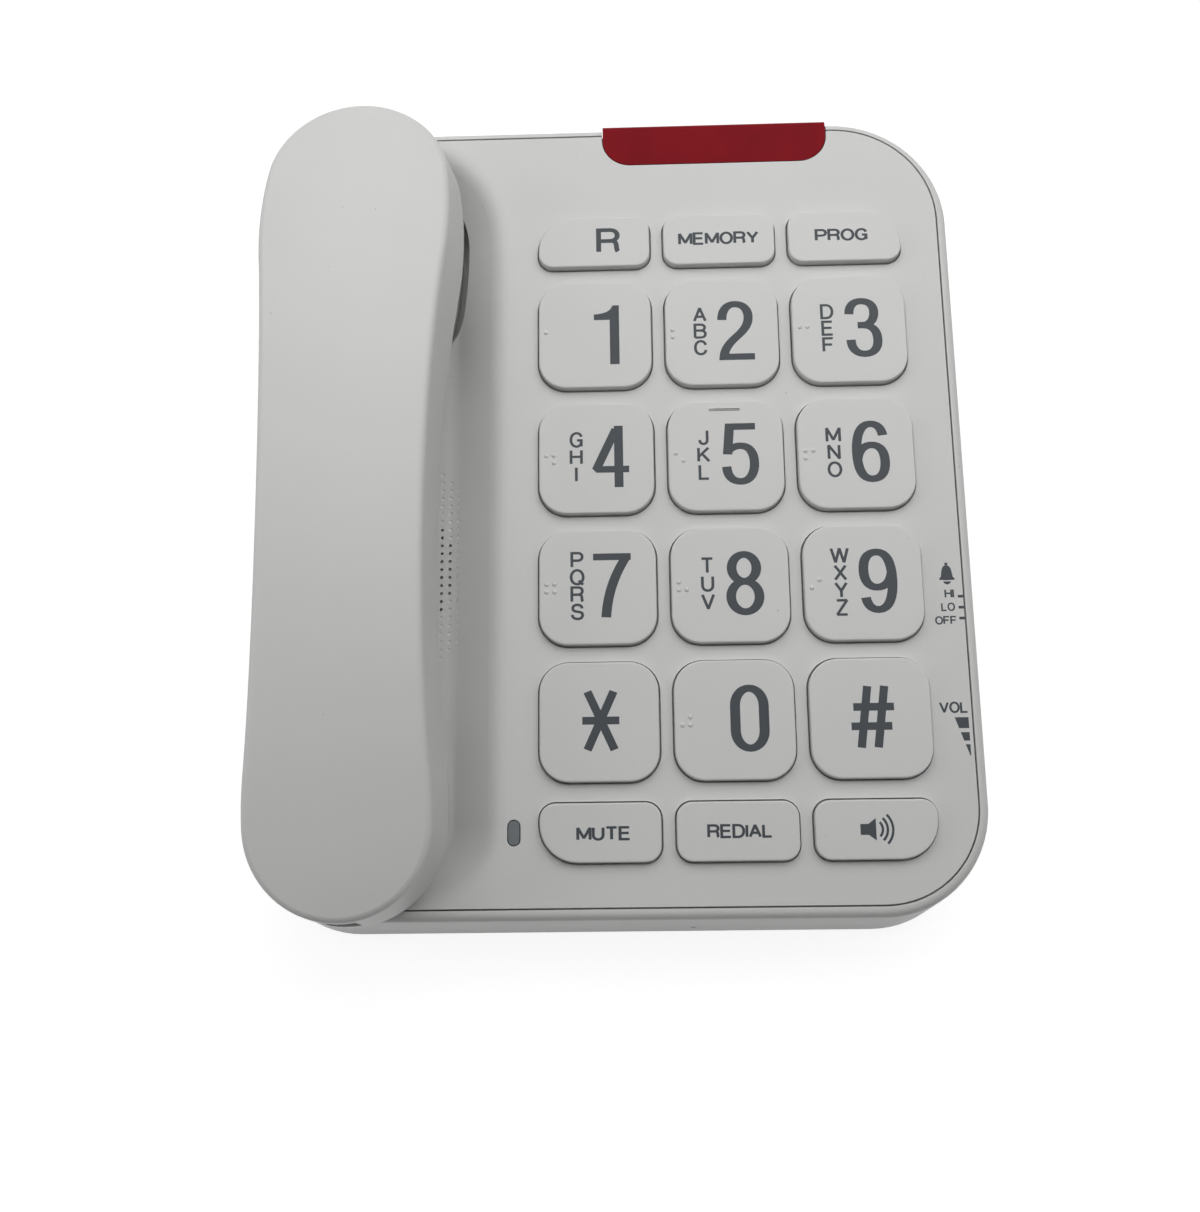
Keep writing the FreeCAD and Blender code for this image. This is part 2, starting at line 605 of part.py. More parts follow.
def channel_levels(body, name, tilted, top_spread, foot, foot_spread):
    upper = new_sketch(body, f"{name}_top", tilted=tilted)
    channel_outline(upper, top_spread)
    lower = new_sketch(body, f"{name}_foot", lift=foot, tilted=tilted)
    channel_outline(lower, foot_spread)
    doc.recompute()
    return upper, lower


def cradle_cut(body, tilted):
    upper, lower = channel_levels(body, "cradle", tilted, "0", "-cradle_depth", f"-{CRADLE_RUN}")
    return grow(body, "SubtractiveLoft", upper, "cradle", Sections=[lower], Ruled=True)


# Handset

ARCH_AXIS = "(top_height - arch_radius)"
PARTING_AXIS = "(parting_height - parting_radius)"


def lobe(tip, half, widest):
    """Centre and radius of the tip arc, and centre of the flank arc, of one end of the handset."""
    flank = value("lobe_flank")
    tip_centre = ((flank - half) ** 2 + widest**2 - (flank - tip) ** 2) / (2 * (flank - tip) + 2 * widest)
    return tip_centre, tip - tip_centre, half - flank


def waist(grip, ear, mouth, ear_widest, mouth_widest):
    """Radius and place of the hollow arc that joins the two flanks of one side."""
    flank = value("lobe_flank")

    def radius(y, half, widest):
        reach = grip + flank - half
        return ((widest - y) ** 2 + reach**2 - flank**2) / (2 * (flank - reach))

    low, high = -mouth_widest, ear_widest
    for _ in range(60):
        middle = (low + high) / 2
        if radius(middle, ear, ear_widest) > radius(middle, mouth, -mouth_widest):
            low = middle
        else:
            high = middle
    return radius(low, ear, ear_widest), low


def arc_between(centre, radius, first, last):
    """An arc, anticlockwise from one point to another."""
    start = math.atan2(first.y - centre.y, first.x - centre.x)
    end = math.atan2(last.y - centre.y, last.x - centre.x)
    if end < start:
        end += 2 * math.pi
    return Part.ArcOfCircle(Part.Circle(centre, V(0, 0, 1), radius), start, end)


def handset_outline(sketch, draw_in, grip_in, offset):
    """The plan of the handset: two lobes and a waist, drawn in by a draft and by an even offset."""
    flank = value("lobe_flank")
    ear_half = value("ear_half") - draw_in
    mouth_half = value("mouth_half") - draw_in
    ear_y, ear_r, ear_flank_x = lobe(value("ear_tip") - draw_in, ear_half, value("ear_widest"))
    mouth_y, mouth_r, mouth_flank_x = lobe(value("mouth_tip") - draw_in, mouth_half, value("mouth_widest"))
    grip = value("grip_half") - grip_in
    hollow, hollow_y = waist(grip, ear_half, mouth_half, value("ear_widest"), value("mouth_widest"))
    ear_tip = V(0, ear_y)
    ear_flank = V(ear_flank_x, value("ear_widest"))
    hollow_centre = V(grip + hollow, hollow_y)
    mouth_flank = V(mouth_flank_x, -value("mouth_widest"))
    mouth_tip = V(0, -mouth_y)

    def meeting(centre, radius, towards):
        return centre + (towards - centre).normalize() * radius

    def mirrored(point):
        return V(-point.x, point.y)

    flank -= offset
    over = meeting(ear_flank, flank, ear_tip)
    upper = meeting(ear_flank, flank, hollow_centre)
    lower = meeting(mouth_flank, flank, hollow_centre)
    under = meeting(mouth_flank, flank, mouth_tip)
    # anticlockwise from the rear tip: centre, radius, first and last point, and whether it bulges
    right = [
        (mouth_flank, flank, under, lower, True),
        (hollow_centre, hollow + offset, lower, upper, False),
        (ear_flank, flank, upper, over, True),
    ]
    left = [(mirrored(c), r, mirrored(b), mirrored(a), bulges) for c, r, a, b, bulges in reversed(right)]
    tips = [(ear_tip, ear_r - offset, over, mirrored(over), True)]
    tips.append((mouth_tip, mouth_r - offset, mirrored(under), under, True))
    loop = tips[:1] + left + tips[1:] + right
    n = sketch.GeometryCount
    for centre, radius, first, last, bulges in loop:
        start, end = (first, last) if bulges else (last, first)
        sketch.addGeometry(arc_between(centre, radius, start, end))
    for i in range(len(loop)):
        after = (i + 1) % len(loop)
        leaves = 2 if loop[i][4] else 1
        enters = 1 if loop[after][4] else 2
        sketch.addConstraint(Sketcher.Constraint("Tangent", n + i, leaves, n + after, enters))


def lobe_outline(sketch, end, tip, half, inner, offset="0", x="0"):
    """A cap or well in plan, from its round tip to a straight inner side; end is 1 or -1."""
    grown = value(offset)
    widest = value("ear_cap_widest" if end > 0 else "mouth_cap_widest")
    flank, corner = value("lobe_flank") + grown, value("cap_corner") + grown
    tip_y, tip_r, flank_x = lobe(value(tip), value(half), widest)
    across = value(x)
    tip_centre, flank_centre = V(0, tip_y), V(flank_x, widest)
    over = flank_centre + (tip_centre - flank_centre).normalize() * flank
    corner_y = value(inner) - grown + corner
    corner_x = flank_x + math.sqrt((flank - corner) ** 2 - (corner_y - widest) ** 2)
    corner_centre = V(corner_x, corner_y)
    under = flank_centre + (corner_centre - flank_centre).normalize() * flank
    foot = corner_centre - V(0, corner)

    def seat(point, mirror=1):
        return V(across + end * mirror * point.x, end * point.y)

    n = sketch.GeometryCount
    sketch.addGeometry(
        [
            arc_between(seat(corner_centre), corner, seat(foot), seat(under)),
            arc_between(seat(flank_centre), flank, seat(under), seat(over)),
            arc_between(seat(tip_centre), tip_r + grown, seat(over), seat(over, -1)),
            arc_between(seat(flank_centre, -1), flank, seat(over, -1), seat(under, -1)),
            arc_between(seat(corner_centre, -1), corner, seat(under, -1), seat(foot, -1)),
            Part.LineSegment(seat(foot, -1), seat(foot)),
        ]
    )
    rules = [Sketcher.Constraint("Tangent", n + i, 2, n + (i + 1) % 6, 1) for i in range(6)]
    sketch.addConstraint(rules + [Sketcher.Constraint("Horizontal", n + 5)])


def handset_form(body, offset):
    """The handset's outline grown up from the face, with its draft; or the space inside a wall."""
    sketches = []
    levels = (("foot", "0", "0", "0"), ("back", "top_height", "end_draft", "grip_draft"))
    for name, lift, draft, grip in levels:
        sketch = new_sketch(body, f"{name}_outline", lift=lift)
        handset_outline(sketch, value(draft), value(grip), value(offset))
        sketches.append(sketch)
    doc.recompute()
    return grow(body, "AdditiveLoft", sketches[0], "form", Sections=sketches[1:], Ruled=True)


def arched_cut(body, name, axis, low, high, crowned=False):
    """Turns away the zone between two radii about an arch's axis, up to a crowned or flat inner edge."""
    sketch = body.newObject("Sketcher::SketchObject", f"{body.Name}_{name}_profile")
    sketch.AttachmentSupport = [(plane(body, "XZ_Plane"), "")]
    sketch.MapMode = "FlatFace"
    sketch.AttachmentOffset = FreeCAD.Placement(V(0, value(axis), -value("arch_middle")), UPRIGHT)
    bind(sketch, ".AttachmentOffset.Base.y", axis)
    bind(sketch, ".AttachmentOffset.Base.z", "-arch_middle")
    side = "(ear_half * 2)"
    if not crowned:
        rounded(sketch, f"-{side}", side, low, high)
    else:
        reach, bottom, top, radius = value(side), value(low), value(high), value("crown_radius")
        centre = V(0, bottom - radius)
        right = V(reach, centre.y + math.sqrt(radius**2 - reach**2))
        left = V(-reach, right.y)
        sketch.addGeometry(
            [
                arc_between(centre, radius, right, left),
                Part.LineSegment(left, V(-reach, top)),
                Part.LineSegment(V(-reach, top), V(reach, top)),
                Part.LineSegment(V(reach, top), right),
            ]
        )
        rules = [Sketcher.Constraint("Coincident", i, 2, (i + 1) % 4, 1) for i in range(4)]
        rules += [Sketcher.Constraint("Vertical", 1), Sketcher.Constraint("Horizontal", 2)]
        rules.append(Sketcher.Constraint("Vertical", 3))
        sketch.addConstraint(rules)
        fix(sketch, "DistanceX", 3, 1, side)
        fix(sketch, "DistanceX", 2, 1, f"-{side}")
        fix(sketch, "DistanceY", 2, 1, high)
        fix(sketch, "DistanceX", 0, 3, "0")
        fix(sketch, "DistanceY", 0, 3, f"({low}) - crown_radius")
        number = sketch.addConstraint(Sketcher.Constraint("Radius", 0, radius))
        bind(sketch, f"Constraints[{number}]", "crown_radius")
    doc.recompute()
    return grow(body, "Groove", sketch, name, ReferenceAxis=(sketch, ["H_Axis"]), Angle=60, Midplane=True)


def parting(y, above="0"):
    """Height of the handset's lower edge at a place along it."""
    return f"(parting_height + ({above}) - (({y}) - arch_middle) ^ 2 / (2 * parting_radius))"


def back_height(y):
    return f"(top_height - (({y}) - arch_middle) ^ 2 / (2 * arch_radius))"


SOCKET_SILL = parting(f"-({SOCKET_FRONT} - socket_depth)", "handset_wall + rest_gap")


def handset_outer_shell():
    solid = new_body("handset_solid")
    handset_form(solid, "0")
    arched_cut(solid, "back", ARCH_AXIS, "arch_radius", "arch_radius + top_height * 2", crowned=True)
    arched_cut(solid, "parting", PARTING_AXIS, "parting_radius - top_height", "parting_radius")
    top_edge = value("parting_height") + 2
    dress(solid, "Fillet", "shoulder", lambda box, edge: box.ZMin > top_edge, Radius="shoulder_round")
    hollow = new_body("handset_hollow")
    handset_form(hollow, "handset_wall")
    beyond = "arch_radius + top_height * 2"
    arched_cut(hollow, "roof", ARCH_AXIS, "arch_radius - handset_wall", beyond, crowned=True)
    shell = cut("handset_outer_hollowed", solid, hollow)
    posts, pilots = [], []
    for side in ("grip_screw", "-grip_screw"):
        foot = parting(side, "handset_wall + rest_gap")
        posts.append(rod("0", side, foot, f"{back_height(side)} - handset_wall / 2", "boss_radius"))
        end = f"{foot} + screw_bite + 1"
        pilots.append(rod("0", side, f"{foot} - 1", end, "screw_radius + rest_gap / 2"))
    whole = joined("handset_outer_filled", [shell] + posts)
    low = f"{SOCKET_SILL} + (socket_height - socket_bore) / 2"
    mouth = centred_block(
        "0", "-mouth_tip", "cord_bore", "handset_wall * 4", f"{low} - latch_height", f"{low} + socket_bore"
    )
    body = cut("handset_outer_shell", whole, group("handset_outer_holes", pilots + [mouth]))
    stand_on_face(body, x="-cradle_from_keys")
    return body


def handset_inner_shell():
    body = new_body("handset_inner_moulding")
    sketches = []
    for name, lift in (("foot", "0"), ("top", "parting_height * 2")):
        sketch = new_sketch(body, f"{name}_outline", lift=lift)
        handset_outline(sketch, 0, 0, value("handset_wall + slip + end_draft / 2"))
        sketches.append(sketch)
    doc.recompute()
    grow(body, "AdditiveLoft", sketches[0], "plate", Sections=sketches[1:], Ruled=True)
    arched_cut(body, "under", PARTING_AXIS, "parting_radius - top_height", "parting_radius")
    caps = (("ear", 1, "ear_cap_tip", "ear_cap_half"), ("mouth", -1, "mouth_cap_tip", "mouth_cap_half"))
    for name, end, tip, half in caps:
        cap(body, name, end, tip, half, CAP_FOOT, "0")
    arched_cut(body, "over", PARTING_AXIS, "parting_radius + handset_wall", "parting_radius + top_height")
    foot_z = value(CAP_FOOT)
    dress(body, "Fillet", "cap_foot", lambda box, edge: box.ZMax < foot_z + 0.01, Radius="cap_round")
    for name, end, tip, half in caps:
        cap(body, f"{name}_hollow", end, tip, half, CAP_FLOOR, "-handset_wall", hollow=True)
    holes = []
    foot, deep = f"{CAP_FOOT} - 1", f"{CAP_FOOT} + handset_wall + 1"
    holes.append(prism("0", "ear_widest", foot, deep, "hole_radius", 8))
    for turn in range(6):
        x, y = f"hole_radius * 5 * cos({60 * turn})", f"ear_widest + hole_radius * 5 * sin({60 * turn})"
        holes.append(prism(x, y, foot, deep, "hole_radius", 8))
    for x in ("-hole_radius * 3", "0", "hole_radius * 3"):
        holes.append(prism(x, "-mouth_widest", foot, deep, "hole_radius", 8))
    for side in ("grip_screw", "-grip_screw"):
        low = f"{parting(side)} - 1"
        holes.append(rod("0", side, low, f"{low} + handset_wall + 2", "screw_radius + rest_gap"))
        holes.append(rod("0", side, low, f"{parting(side)} + head_height", "head_radius + slip"))
    shell = cut("handset_inner_shell", body, group("handset_inner_holes", holes))
    stand_on_face(shell, x="-cradle_from_keys")
    return shell


def cap(body, name, end, tip, half, foot, offset, hollow=False):
    """The ear or mouth cap, from its foot to above the parting edge, or the hollow inside it."""
    sketch = new_sketch(body, name, lift=foot)
    lobe_outline(sketch, end, tip, half, "cap_inner", offset)
    length = f"parting_height * 1.6 - {foot}"
    if hollow:
        return pocket(body, sketch, name, length, Reversed=True)
    return pad(body, sketch, name, length)


# Pieces inside the handset


def seated(thing, x="0"):
    """Puts a piece on the face; a lone primitive first gets a group of its own, which keeps its place."""
    if thing.TypeId in ("Part::Box", "Part::Cylinder"):
        thing = own_node(thing)
    stand_on_face(thing, x=x)
    return thing


def own_node(thing):
    """Wraps one primitive in a group that bears its label."""
    label = thing.Label
    thing.Label = f"{label}_solid"
    return group(label, [thing])


def handset_insides():
    below, seat = f"{CAP_FLOOR} - 1", f"({CAP_FLOOR} + gasket_thick)"
    gasket = cut(
        "earpiece_gasket",
        rod("0", "ear_widest", CAP_FLOOR, seat, "receiver_radius"),
        rod("0", "ear_widest", below, f"{seat} + 1", "receiver_radius - gasket_width"),
    )
    receiver = joined(
        "earpiece_receiver",
        [
            rod("0", "ear_widest", seat, f"{seat} + receiver_height / 2", "receiver_radius"),
            rod("0", "ear_widest", seat, f"{seat} + receiver_height", "receiver_radius * 0.6"),
        ],
    )
    capsule_top = f"({CAP_FLOOR} + capsule_height)"
    boot = cut(
        "microphone_boot",
        rod("0", "-mouth_widest", CAP_FLOOR, f"{capsule_top} + boot_wall", "capsule_radius + boot_wall"),
        rod("0", "-mouth_widest", below, capsule_top, "capsule_radius"),
    )
    capsule = rod("0", "-mouth_widest", CAP_FLOOR, capsule_top, "capsule_radius - slip")
    capsule.Label = "microphone"
    rest = parting("0", "handset_wall + rest_gap")
    weight = centred_block("0", "0", "weight_width", "weight_length", rest, f"{rest} + weight_height")
    weight.Label = "handset_weight"
    screws = []
    for side in ("grip_screw", "-grip_screw"):
        seat = f"{parting(side)} + head_height"
        screws.append(screw("0", side, seat, f"{parting(side, 'handset_wall')} + screw_bite"))
    screws = group("handset_screws", screws)
    pieces = (gasket, receiver, boot, capsule, weight, screws)
    return [seated(thing, x="-cradle_from_keys") for thing in pieces]


# Base: lower case

def rim_edges(box, edge):
    """Top edges of the case that lie over its outer outline."""
    if box.ZMin < value("front_height") / 2 or box.ZLength > 0.9 * edge.Length:
        return False
    across, deep = value("case_width / 2"), value("plan_half")
    for fraction in (0.2, 0.5, 0.8):
        spot = edge.valueAt(edge.FirstParameter + fraction * (edge.LastParameter - edge.FirstParameter))
        corner = value("front_corner") if spot.y < 0 else value("rear_corner")
        dx = max(abs(spot.x) - (across - corner), 0)
        dy = max(abs(spot.y) - (deep - corner), 0)
        if abs(math.hypot(dx, dy) - corner) > 0.02:
            return False
    return True


def screw_places():
    """Case screws: their x on the face and y in the plan of the base, and y on the face."""
    for x in ("-case_screw_x", "case_screw_x"):
        for y in ("case_screw_rear", "-case_screw_front"):
            yield x, f"({FACE_Y} + {y} * cos(face_tilt) + cover_wall / 2 * sin(face_tilt))", y


def holes_on(body, name, lift, places, radius, role="XY_Plane"):
    sketch = new_sketch(body, name, role, lift)
    for x, y in places:
        ring(sketch, x, y, radius)
    return sketch


BASE_MIC_X = f"({FACE_X} - base_mic_left)"
FEET = [(f"{sx}foot_x", f"{sy}foot_y") for sx in ("-", "") for sy in ("-", "")]


def lower_case():
    body = new_body("lower_case")
    plan = new_sketch(body, "plan", lift="foot_height")
    plan_outline(plan, "0")
    pad(body, plan, "block", "front_height + case_depth * sin(face_tilt)")
    slope = new_sketch(body, "slope", tilted=True)
    rounded(slope, "-case_width * 2", "case_width * 2", "-case_depth * 2", "case_depth * 2")
    pocket(body, slope, "face", Reversed=True)
    dress(body, "Fillet", "bead", rim_edges, Radius="rim_round")
    cradle_cut(body, True)
    upwards = {"UseCustomVector": True, "Direction": V(0, 0, 1)}
    seat = new_sketch(body, "seat", lift="-(cover_wall + rest_gap)", tilted=True)
    face_outline(seat, "case_wall", "cover_wall + rest_gap")
    pocket(body, seat, "seat", **upwards)
    relief = new_sketch(body, "relief", lift="-(well_depth + cover_wall + slip)", tilted=True)
    face_outline(relief, "case_wall", "well_depth + cover_wall + slip", right="-(case_screw_x + post_radius)")
    pocket(body, relief, "relief", **upwards)
    inside = new_sketch(body, "inside", lift=FLOOR)
    plan_outline(inside, INNER_INSET)
    pocket(body, inside, "inside", Reversed=True)

    posts = [(f"{FACE_X} + ({x})", y) for x, y, _ in screw_places()]
    pad(body, holes_on(body, "posts", FLOOR, posts, "post_radius"), "posts", f"post_top - {FLOOR}")
    shanks = holes_on(body, "shanks", "foot_height", posts, "screw_radius + rest_gap")
    pocket(body, shanks, "shanks", Reversed=True)
    heads = holes_on(body, "heads", "foot_height", posts, "head_radius + slip")
    pocket(body, heads, "heads", "post_top - foot_height - post_land", Reversed=True)
    recess = holes_on(body, "feet", "foot_height", FEET, "foot_radius + slip")
    pocket(body, recess, "feet", "foot_recess", Reversed=True)
    keyholes = [("0", "-keyhole_pitch / 2"), ("0", "keyhole_pitch / 2")]
    wide = holes_on(body, "keyholes", "foot_height", keyholes, "keyhole_radius")
    pocket(body, wide, "keyholes", "case_wall + 1", Reversed=True)
    slots = new_sketch(body, "slots", lift="foot_height")
    for x, y in keyholes:
        stadium(slots, x, f"{y} - keyhole_slot", f"{y} + keyhole_rise", "keyhole_slot")
    pocket(body, slots, "slots", "case_wall + 1", Reversed=True)

    side_wall = f"{INNER_INSET} + 1"
    right = new_sketch(body, "slides", "YZ_Plane", "case_width / 2")
    for y, travel in (("-ringer_y", "ringer_travel"), ("-volume_y", "volume_travel")):
        half = f"({travel} + stem_length) / 2 + slip"
        low, high = "slide_height - stem_height / 2 - slip", "slide_height + stem_height / 2 + slip"
        rounded(right, f"{y} - ({half})", f"{y} + {half}", low, high)
    pocket(body, right, "slides", side_wall)
    left = new_sketch(body, "cord", "YZ_Plane", "-case_width / 2")
    socket_opening(left, "-cord_y", "cord_width")
    pocket(body, left, "cord", side_wall, Reversed=True)
    rear = new_sketch(body, "line", "XZ_Plane", "-plan_half")
    socket_opening(rear, "line_x", "line_width")
    pocket(body, rear, "line", side_wall, Reversed=True)
    front = new_sketch(body, "mic", "XZ_Plane", "plan_half")
    ring(front, BASE_MIC_X, "base_mic_height", "mic_hole")
    pocket(body, front, "mic", side_wall)

    notch = new_sketch(body, "lens", tilted=True)
    x0, x1 = f"{FACE_X} - lens_left - slip", f"{FACE_X} + lens_right + slip"
    rounded(notch, "-(lens_left + slip)", "lens_right + slip", "lens_front", "face_rear + case_wall * 2")
    pocket(body, notch, "lens", "lens_thick + rest_gap")
    recess = new_sketch(body, "lens_drop", "XZ_Plane", "-plan_half")
    top = "front_height + case_depth * sin(face_tilt)"
    rounded(recess, x0, x1, f"{top} - lens_drop - slip * 2", f"{top} + case_wall")
    pocket(body, recess, "lens_drop", "lens_thick - lens_proud + rest_gap", Reversed=True)
    return body


def socket_opening(sketch, middle, width):
    half = f"({width} / 2 + slip)"
    top = "socket_lift + socket_height + slip"
    rounded(sketch, f"{middle} - {half}", f"{middle} + {half}", "socket_lift - slip", top)


# Base: face plate with the cradle

KEY_HEIGHT = "key_width"
ROWS = [
    ("top_bar_offset", "bar_height", ("key_r", "key_memory", "key_prog")),
    ("row_pitch * 1.5", KEY_HEIGHT, ("key_1", "key_2", "key_3")),
    ("row_pitch * 0.5", KEY_HEIGHT, ("key_4", "key_5", "key_6")),
    ("-row_pitch * 0.5", KEY_HEIGHT, ("key_7", "key_8", "key_9")),
    ("-row_pitch * 1.5", KEY_HEIGHT, ("key_star", "key_0", "key_hash")),
    ("-low_bar_offset", "bar_height", ("key_mute", "key_redial", "key_speaker")),
]
COLUMNS = ("-key_pitch", "0", "key_pitch")
# which corner of these four keys is also a corner of the whole block, anticlockwise from the low left
BLOCK_CORNERS = {"key_mute": 0, "key_speaker": 1, "key_prog": 2, "key_r": 3}


def key_places():
    """Name, middle, height and corner radii of each key."""
    for y, height, names in ROWS:
        for x, name in zip(COLUMNS, names):
            radii = ["key_round" if height == KEY_HEIGHT else "bar_round"] * 4
            if name in BLOCK_CORNERS:
                radii[BLOCK_CORNERS[name]] = "block_round"
            yield name, x, y, height, radii


def well(body, name, end, grown, lift):
    sketch = new_sketch(body, name, lift=lift)
    side = "ear" if end > 0 else "mouth"
    inner = "cap_inner - well_lead"
    lobe_outline(sketch, end, f"{side}_well_tip", f"{side}_well_half", inner, grown, "-cradle_from_keys")
    return sketch


def bowl_spread(depth):
    """How far the underside of the cradle stands out from its top edge, at a depth."""
    return f"cover_wall / sin(cradle_slope) - ({depth}) / tan(cradle_slope)"


def cradle_edges(level):
    """A rule for the edges of the channel that lie at a level of the face frame."""
    height = value(level)
    axis, outer = -value("cradle_from_keys"), value("cradle_half") * 1.05

    def rule(box, edge):
        flat = abs(box.ZMin - height) < 0.01 and abs(box.ZMax - height) < 0.01
        return flat and max(abs(box.XMin - axis), abs(box.XMax - axis)) < outer

    return rule


def cover_moulding():
    body = new_body("cover_moulding")
    plate = new_sketch(body, "plate", lift="-cover_wall")
    face_outline(plate, "-cradle_half / 2")
    pad(body, plate, "plate", "cover_wall")
    depth = "cradle_depth + cover_wall"
    upper, lower = channel_levels(body, "bowl", False, bowl_spread("0"), BOWL_FOOT, bowl_spread(depth))
    grow(body, "AdditiveLoft", upper, "bowl", Sections=[lower], Ruled=True)
    for name, end in (("ear", 1), ("mouth", -1)):
        walls = well(body, f"{name}_walls", end, "well_wall", WELL_FOOT)
        pad(body, walls, f"{name}_walls", "well_depth + cover_wall - rest_gap")
    cradle_cut(body, False)
    dress(body, "Fillet", "cradle_round", cradle_edges("0"), Radius="cradle_round")
    dress(body, "Fillet", "cradle_fillet", cradle_edges("-cradle_depth"), Radius="cradle_fillet")
    for name, end in (("ear", 1), ("mouth", -1)):
        hole = well(body, f"{name}_well", end, "0", "0")
        pocket(body, hole, f"{name}_well", "well_depth")
    edge = new_sketch(body, "edge")
    rounded(edge, "-case_width * 2", "case_width * 2", "-case_depth * 2", "case_depth * 2")
    face_outline(edge, COVER_INSET)
    tilt = math.radians(value("face_tilt"))
    pocket(body, edge, "edge", UseCustomVector=True, Direction=V(0, -math.sin(tilt), -math.cos(tilt)))
    for row, (y, height, names) in enumerate(ROWS):
        openings = new_sketch(body, f"openings_{row}")
        for name, x, y, height, radii in key_places():
            if name in names:
                wide, tall = "(key_width / 2 + key_gap)", f"({height} / 2 + key_gap)"
                corners = [f"{r} + key_gap" for r in radii]
                rounded(openings, f"{x} - {wide}", f"{x} + {wide}", f"{y} - {tall}", f"{y} + {tall}", corners)
        pocket(body, openings, f"openings_{row}")
    lens = new_sketch(body, "lens")
    corner = "lens_corner + slip"
    beyond = "face_rear + lens_corner * 2"
    rounded(lens, "-(lens_left + slip)", "lens_right + slip", "lens_front - slip", beyond, corner)
    pocket(body, lens, "lens", "cover_wall * 2")
    pill = new_sketch(body, "status")
    status_outline(pill, "slip")
    pocket(body, pill, "status", "cover_wall * 2")
    tab = new_sketch(body, "tab")
    left, right = "-cradle_from_keys - tab_width / 2 - slip", "-cradle_from_keys + tab_width / 2 + slip"
    rounded(tab, left, right, "tab_y - slip", "tab_y + tab_thick + slip")
    pocket(body, tab, "tab", "well_depth + cover_wall * 2")
    plunger = new_sketch(body, "plunger")
    ring(plunger, "-cradle_from_keys", "plunger_y", "plunger_radius + slip")
    pocket(body, plunger, "plunger", "well_depth + cover_wall * 2")
    return body


def status_outline(sketch, grown):
    low, high = f"-status_y - status_length / 2 - ({grown})", f"-status_y + status_length / 2 + ({grown})"
    stadium(sketch, "-status_x", low, high, f"status_half + ({grown})")


def skewed_rod(x, y, z_low, z_high, radius):
    """A rod upright in the telephone's own frame, given its ends above the desk and its place on the face."""
    tip_z = "(-cover_wall / 2)"
    tip_height = f"({FACE_Z} + ({y}) * sin(face_tilt) + {tip_z} * cos(face_tilt))"
    drop = f"({tip_height} - ({z_low}))"
    thing = rod(x, f"({y}) - {drop} * sin(face_tilt)", "0", f"({z_high or tip_height}) - ({z_low})", radius)
    back_upright = FreeCAD.Rotation(V(-1, 0, 0), value("face_tilt"))
    thing.Placement = FreeCAD.Placement(thing.Placement.Base, back_upright)
    bind(thing, ".Placement.Rotation.Angle", "face_tilt")
    bind(thing, ".Placement.Base.z", f"{tip_z} - {drop} * cos(face_tilt)")
    return thing


def board_screw_places():
    for x in ("-rear_board_screws", "rear_board_screws"):
        yield x, "(block_rear + board_rear - board_screw_in)"
    for x in ("-front_board_screws", "front_board_screws"):
        yield x, "(-(block_front + board_front - board_screw_in))"


def speaker_screw_places():
    for turn in (-90, 60, 120):
        across, along = f"speaker_screw_ring * cos({turn})", f"speaker_screw_ring * sin({turn})"
        yield f"-speaker_x + {across}", f"-speaker_y + {along}"


def upper_cover():
    solids, holes = [cover_moulding()], []
    pilot = "screw_radius + rest_gap / 2"
    for x, _, y in screw_places():
        solids.append(skewed_rod(x, y, "post_top", None, "boss_radius"))
        holes.append(skewed_rod(x, y, "post_top - 1", "post_top + screw_bite + 1", pilot))
    for x, y in board_screw_places():
        solids.append(rod(x, y, BOARD_TOP, "-cover_wall / 2", "boss_radius"))
        holes.append(rod(x, y, f"{BOARD_TOP} - 1", "-cover_wall", pilot))
    for x, y in speaker_screw_places():
        foot = f"{BOWL_FOOT} - speaker_rim"
        solids.append(rod(x, y, foot, f"{BOWL_FOOT} + cover_wall / 2", "boss_radius"))
        holes.append(rod(x, y, f"{foot} - 1", f"{BOWL_FOOT} + rest_gap * 3", pilot))
    for side in ("-", ""):
        post_y = "lens_front + strip_width / 2 - slip"
        solids.append(rod(f"{side}strip_post", post_y, STRIP_TOP, "-cover_wall / 2", "boss_radius / 2"))
        leg = f"{side}(hook_switch_width / 2 + hook_leg / 2)"
        x, leg_top = f"-cradle_from_keys + {leg}", f"{WELL_FOOT} + well_wall / 2"
        solids.append(centred_block(x, "plunger_y", "hook_leg", "hook_switch_depth", HOOK_FOOT, leg_top))
    moulding = joined("cover_with_bosses", solids)
    sound = []
    steps = int(value("grille_radius / grille_pitch"))
    for column in range(-steps, steps + 1):
        for row in range(-steps, steps + 1):
            if math.hypot(column, row) * value("grille_pitch") > value("grille_radius"):
                continue
            x, y = f"-speaker_x + grille_pitch * {column}", f"-speaker_y + grille_pitch * {row}"
            sound.append(prism(x, y, f"{BOWL_FOOT} - 1", "-cradle_depth + 1", "grille_hole", 4))
    cover = cut("upper_cover", moulding, group("cover_holes", holes + sound))
    stand_on_face(cover)
    return cover


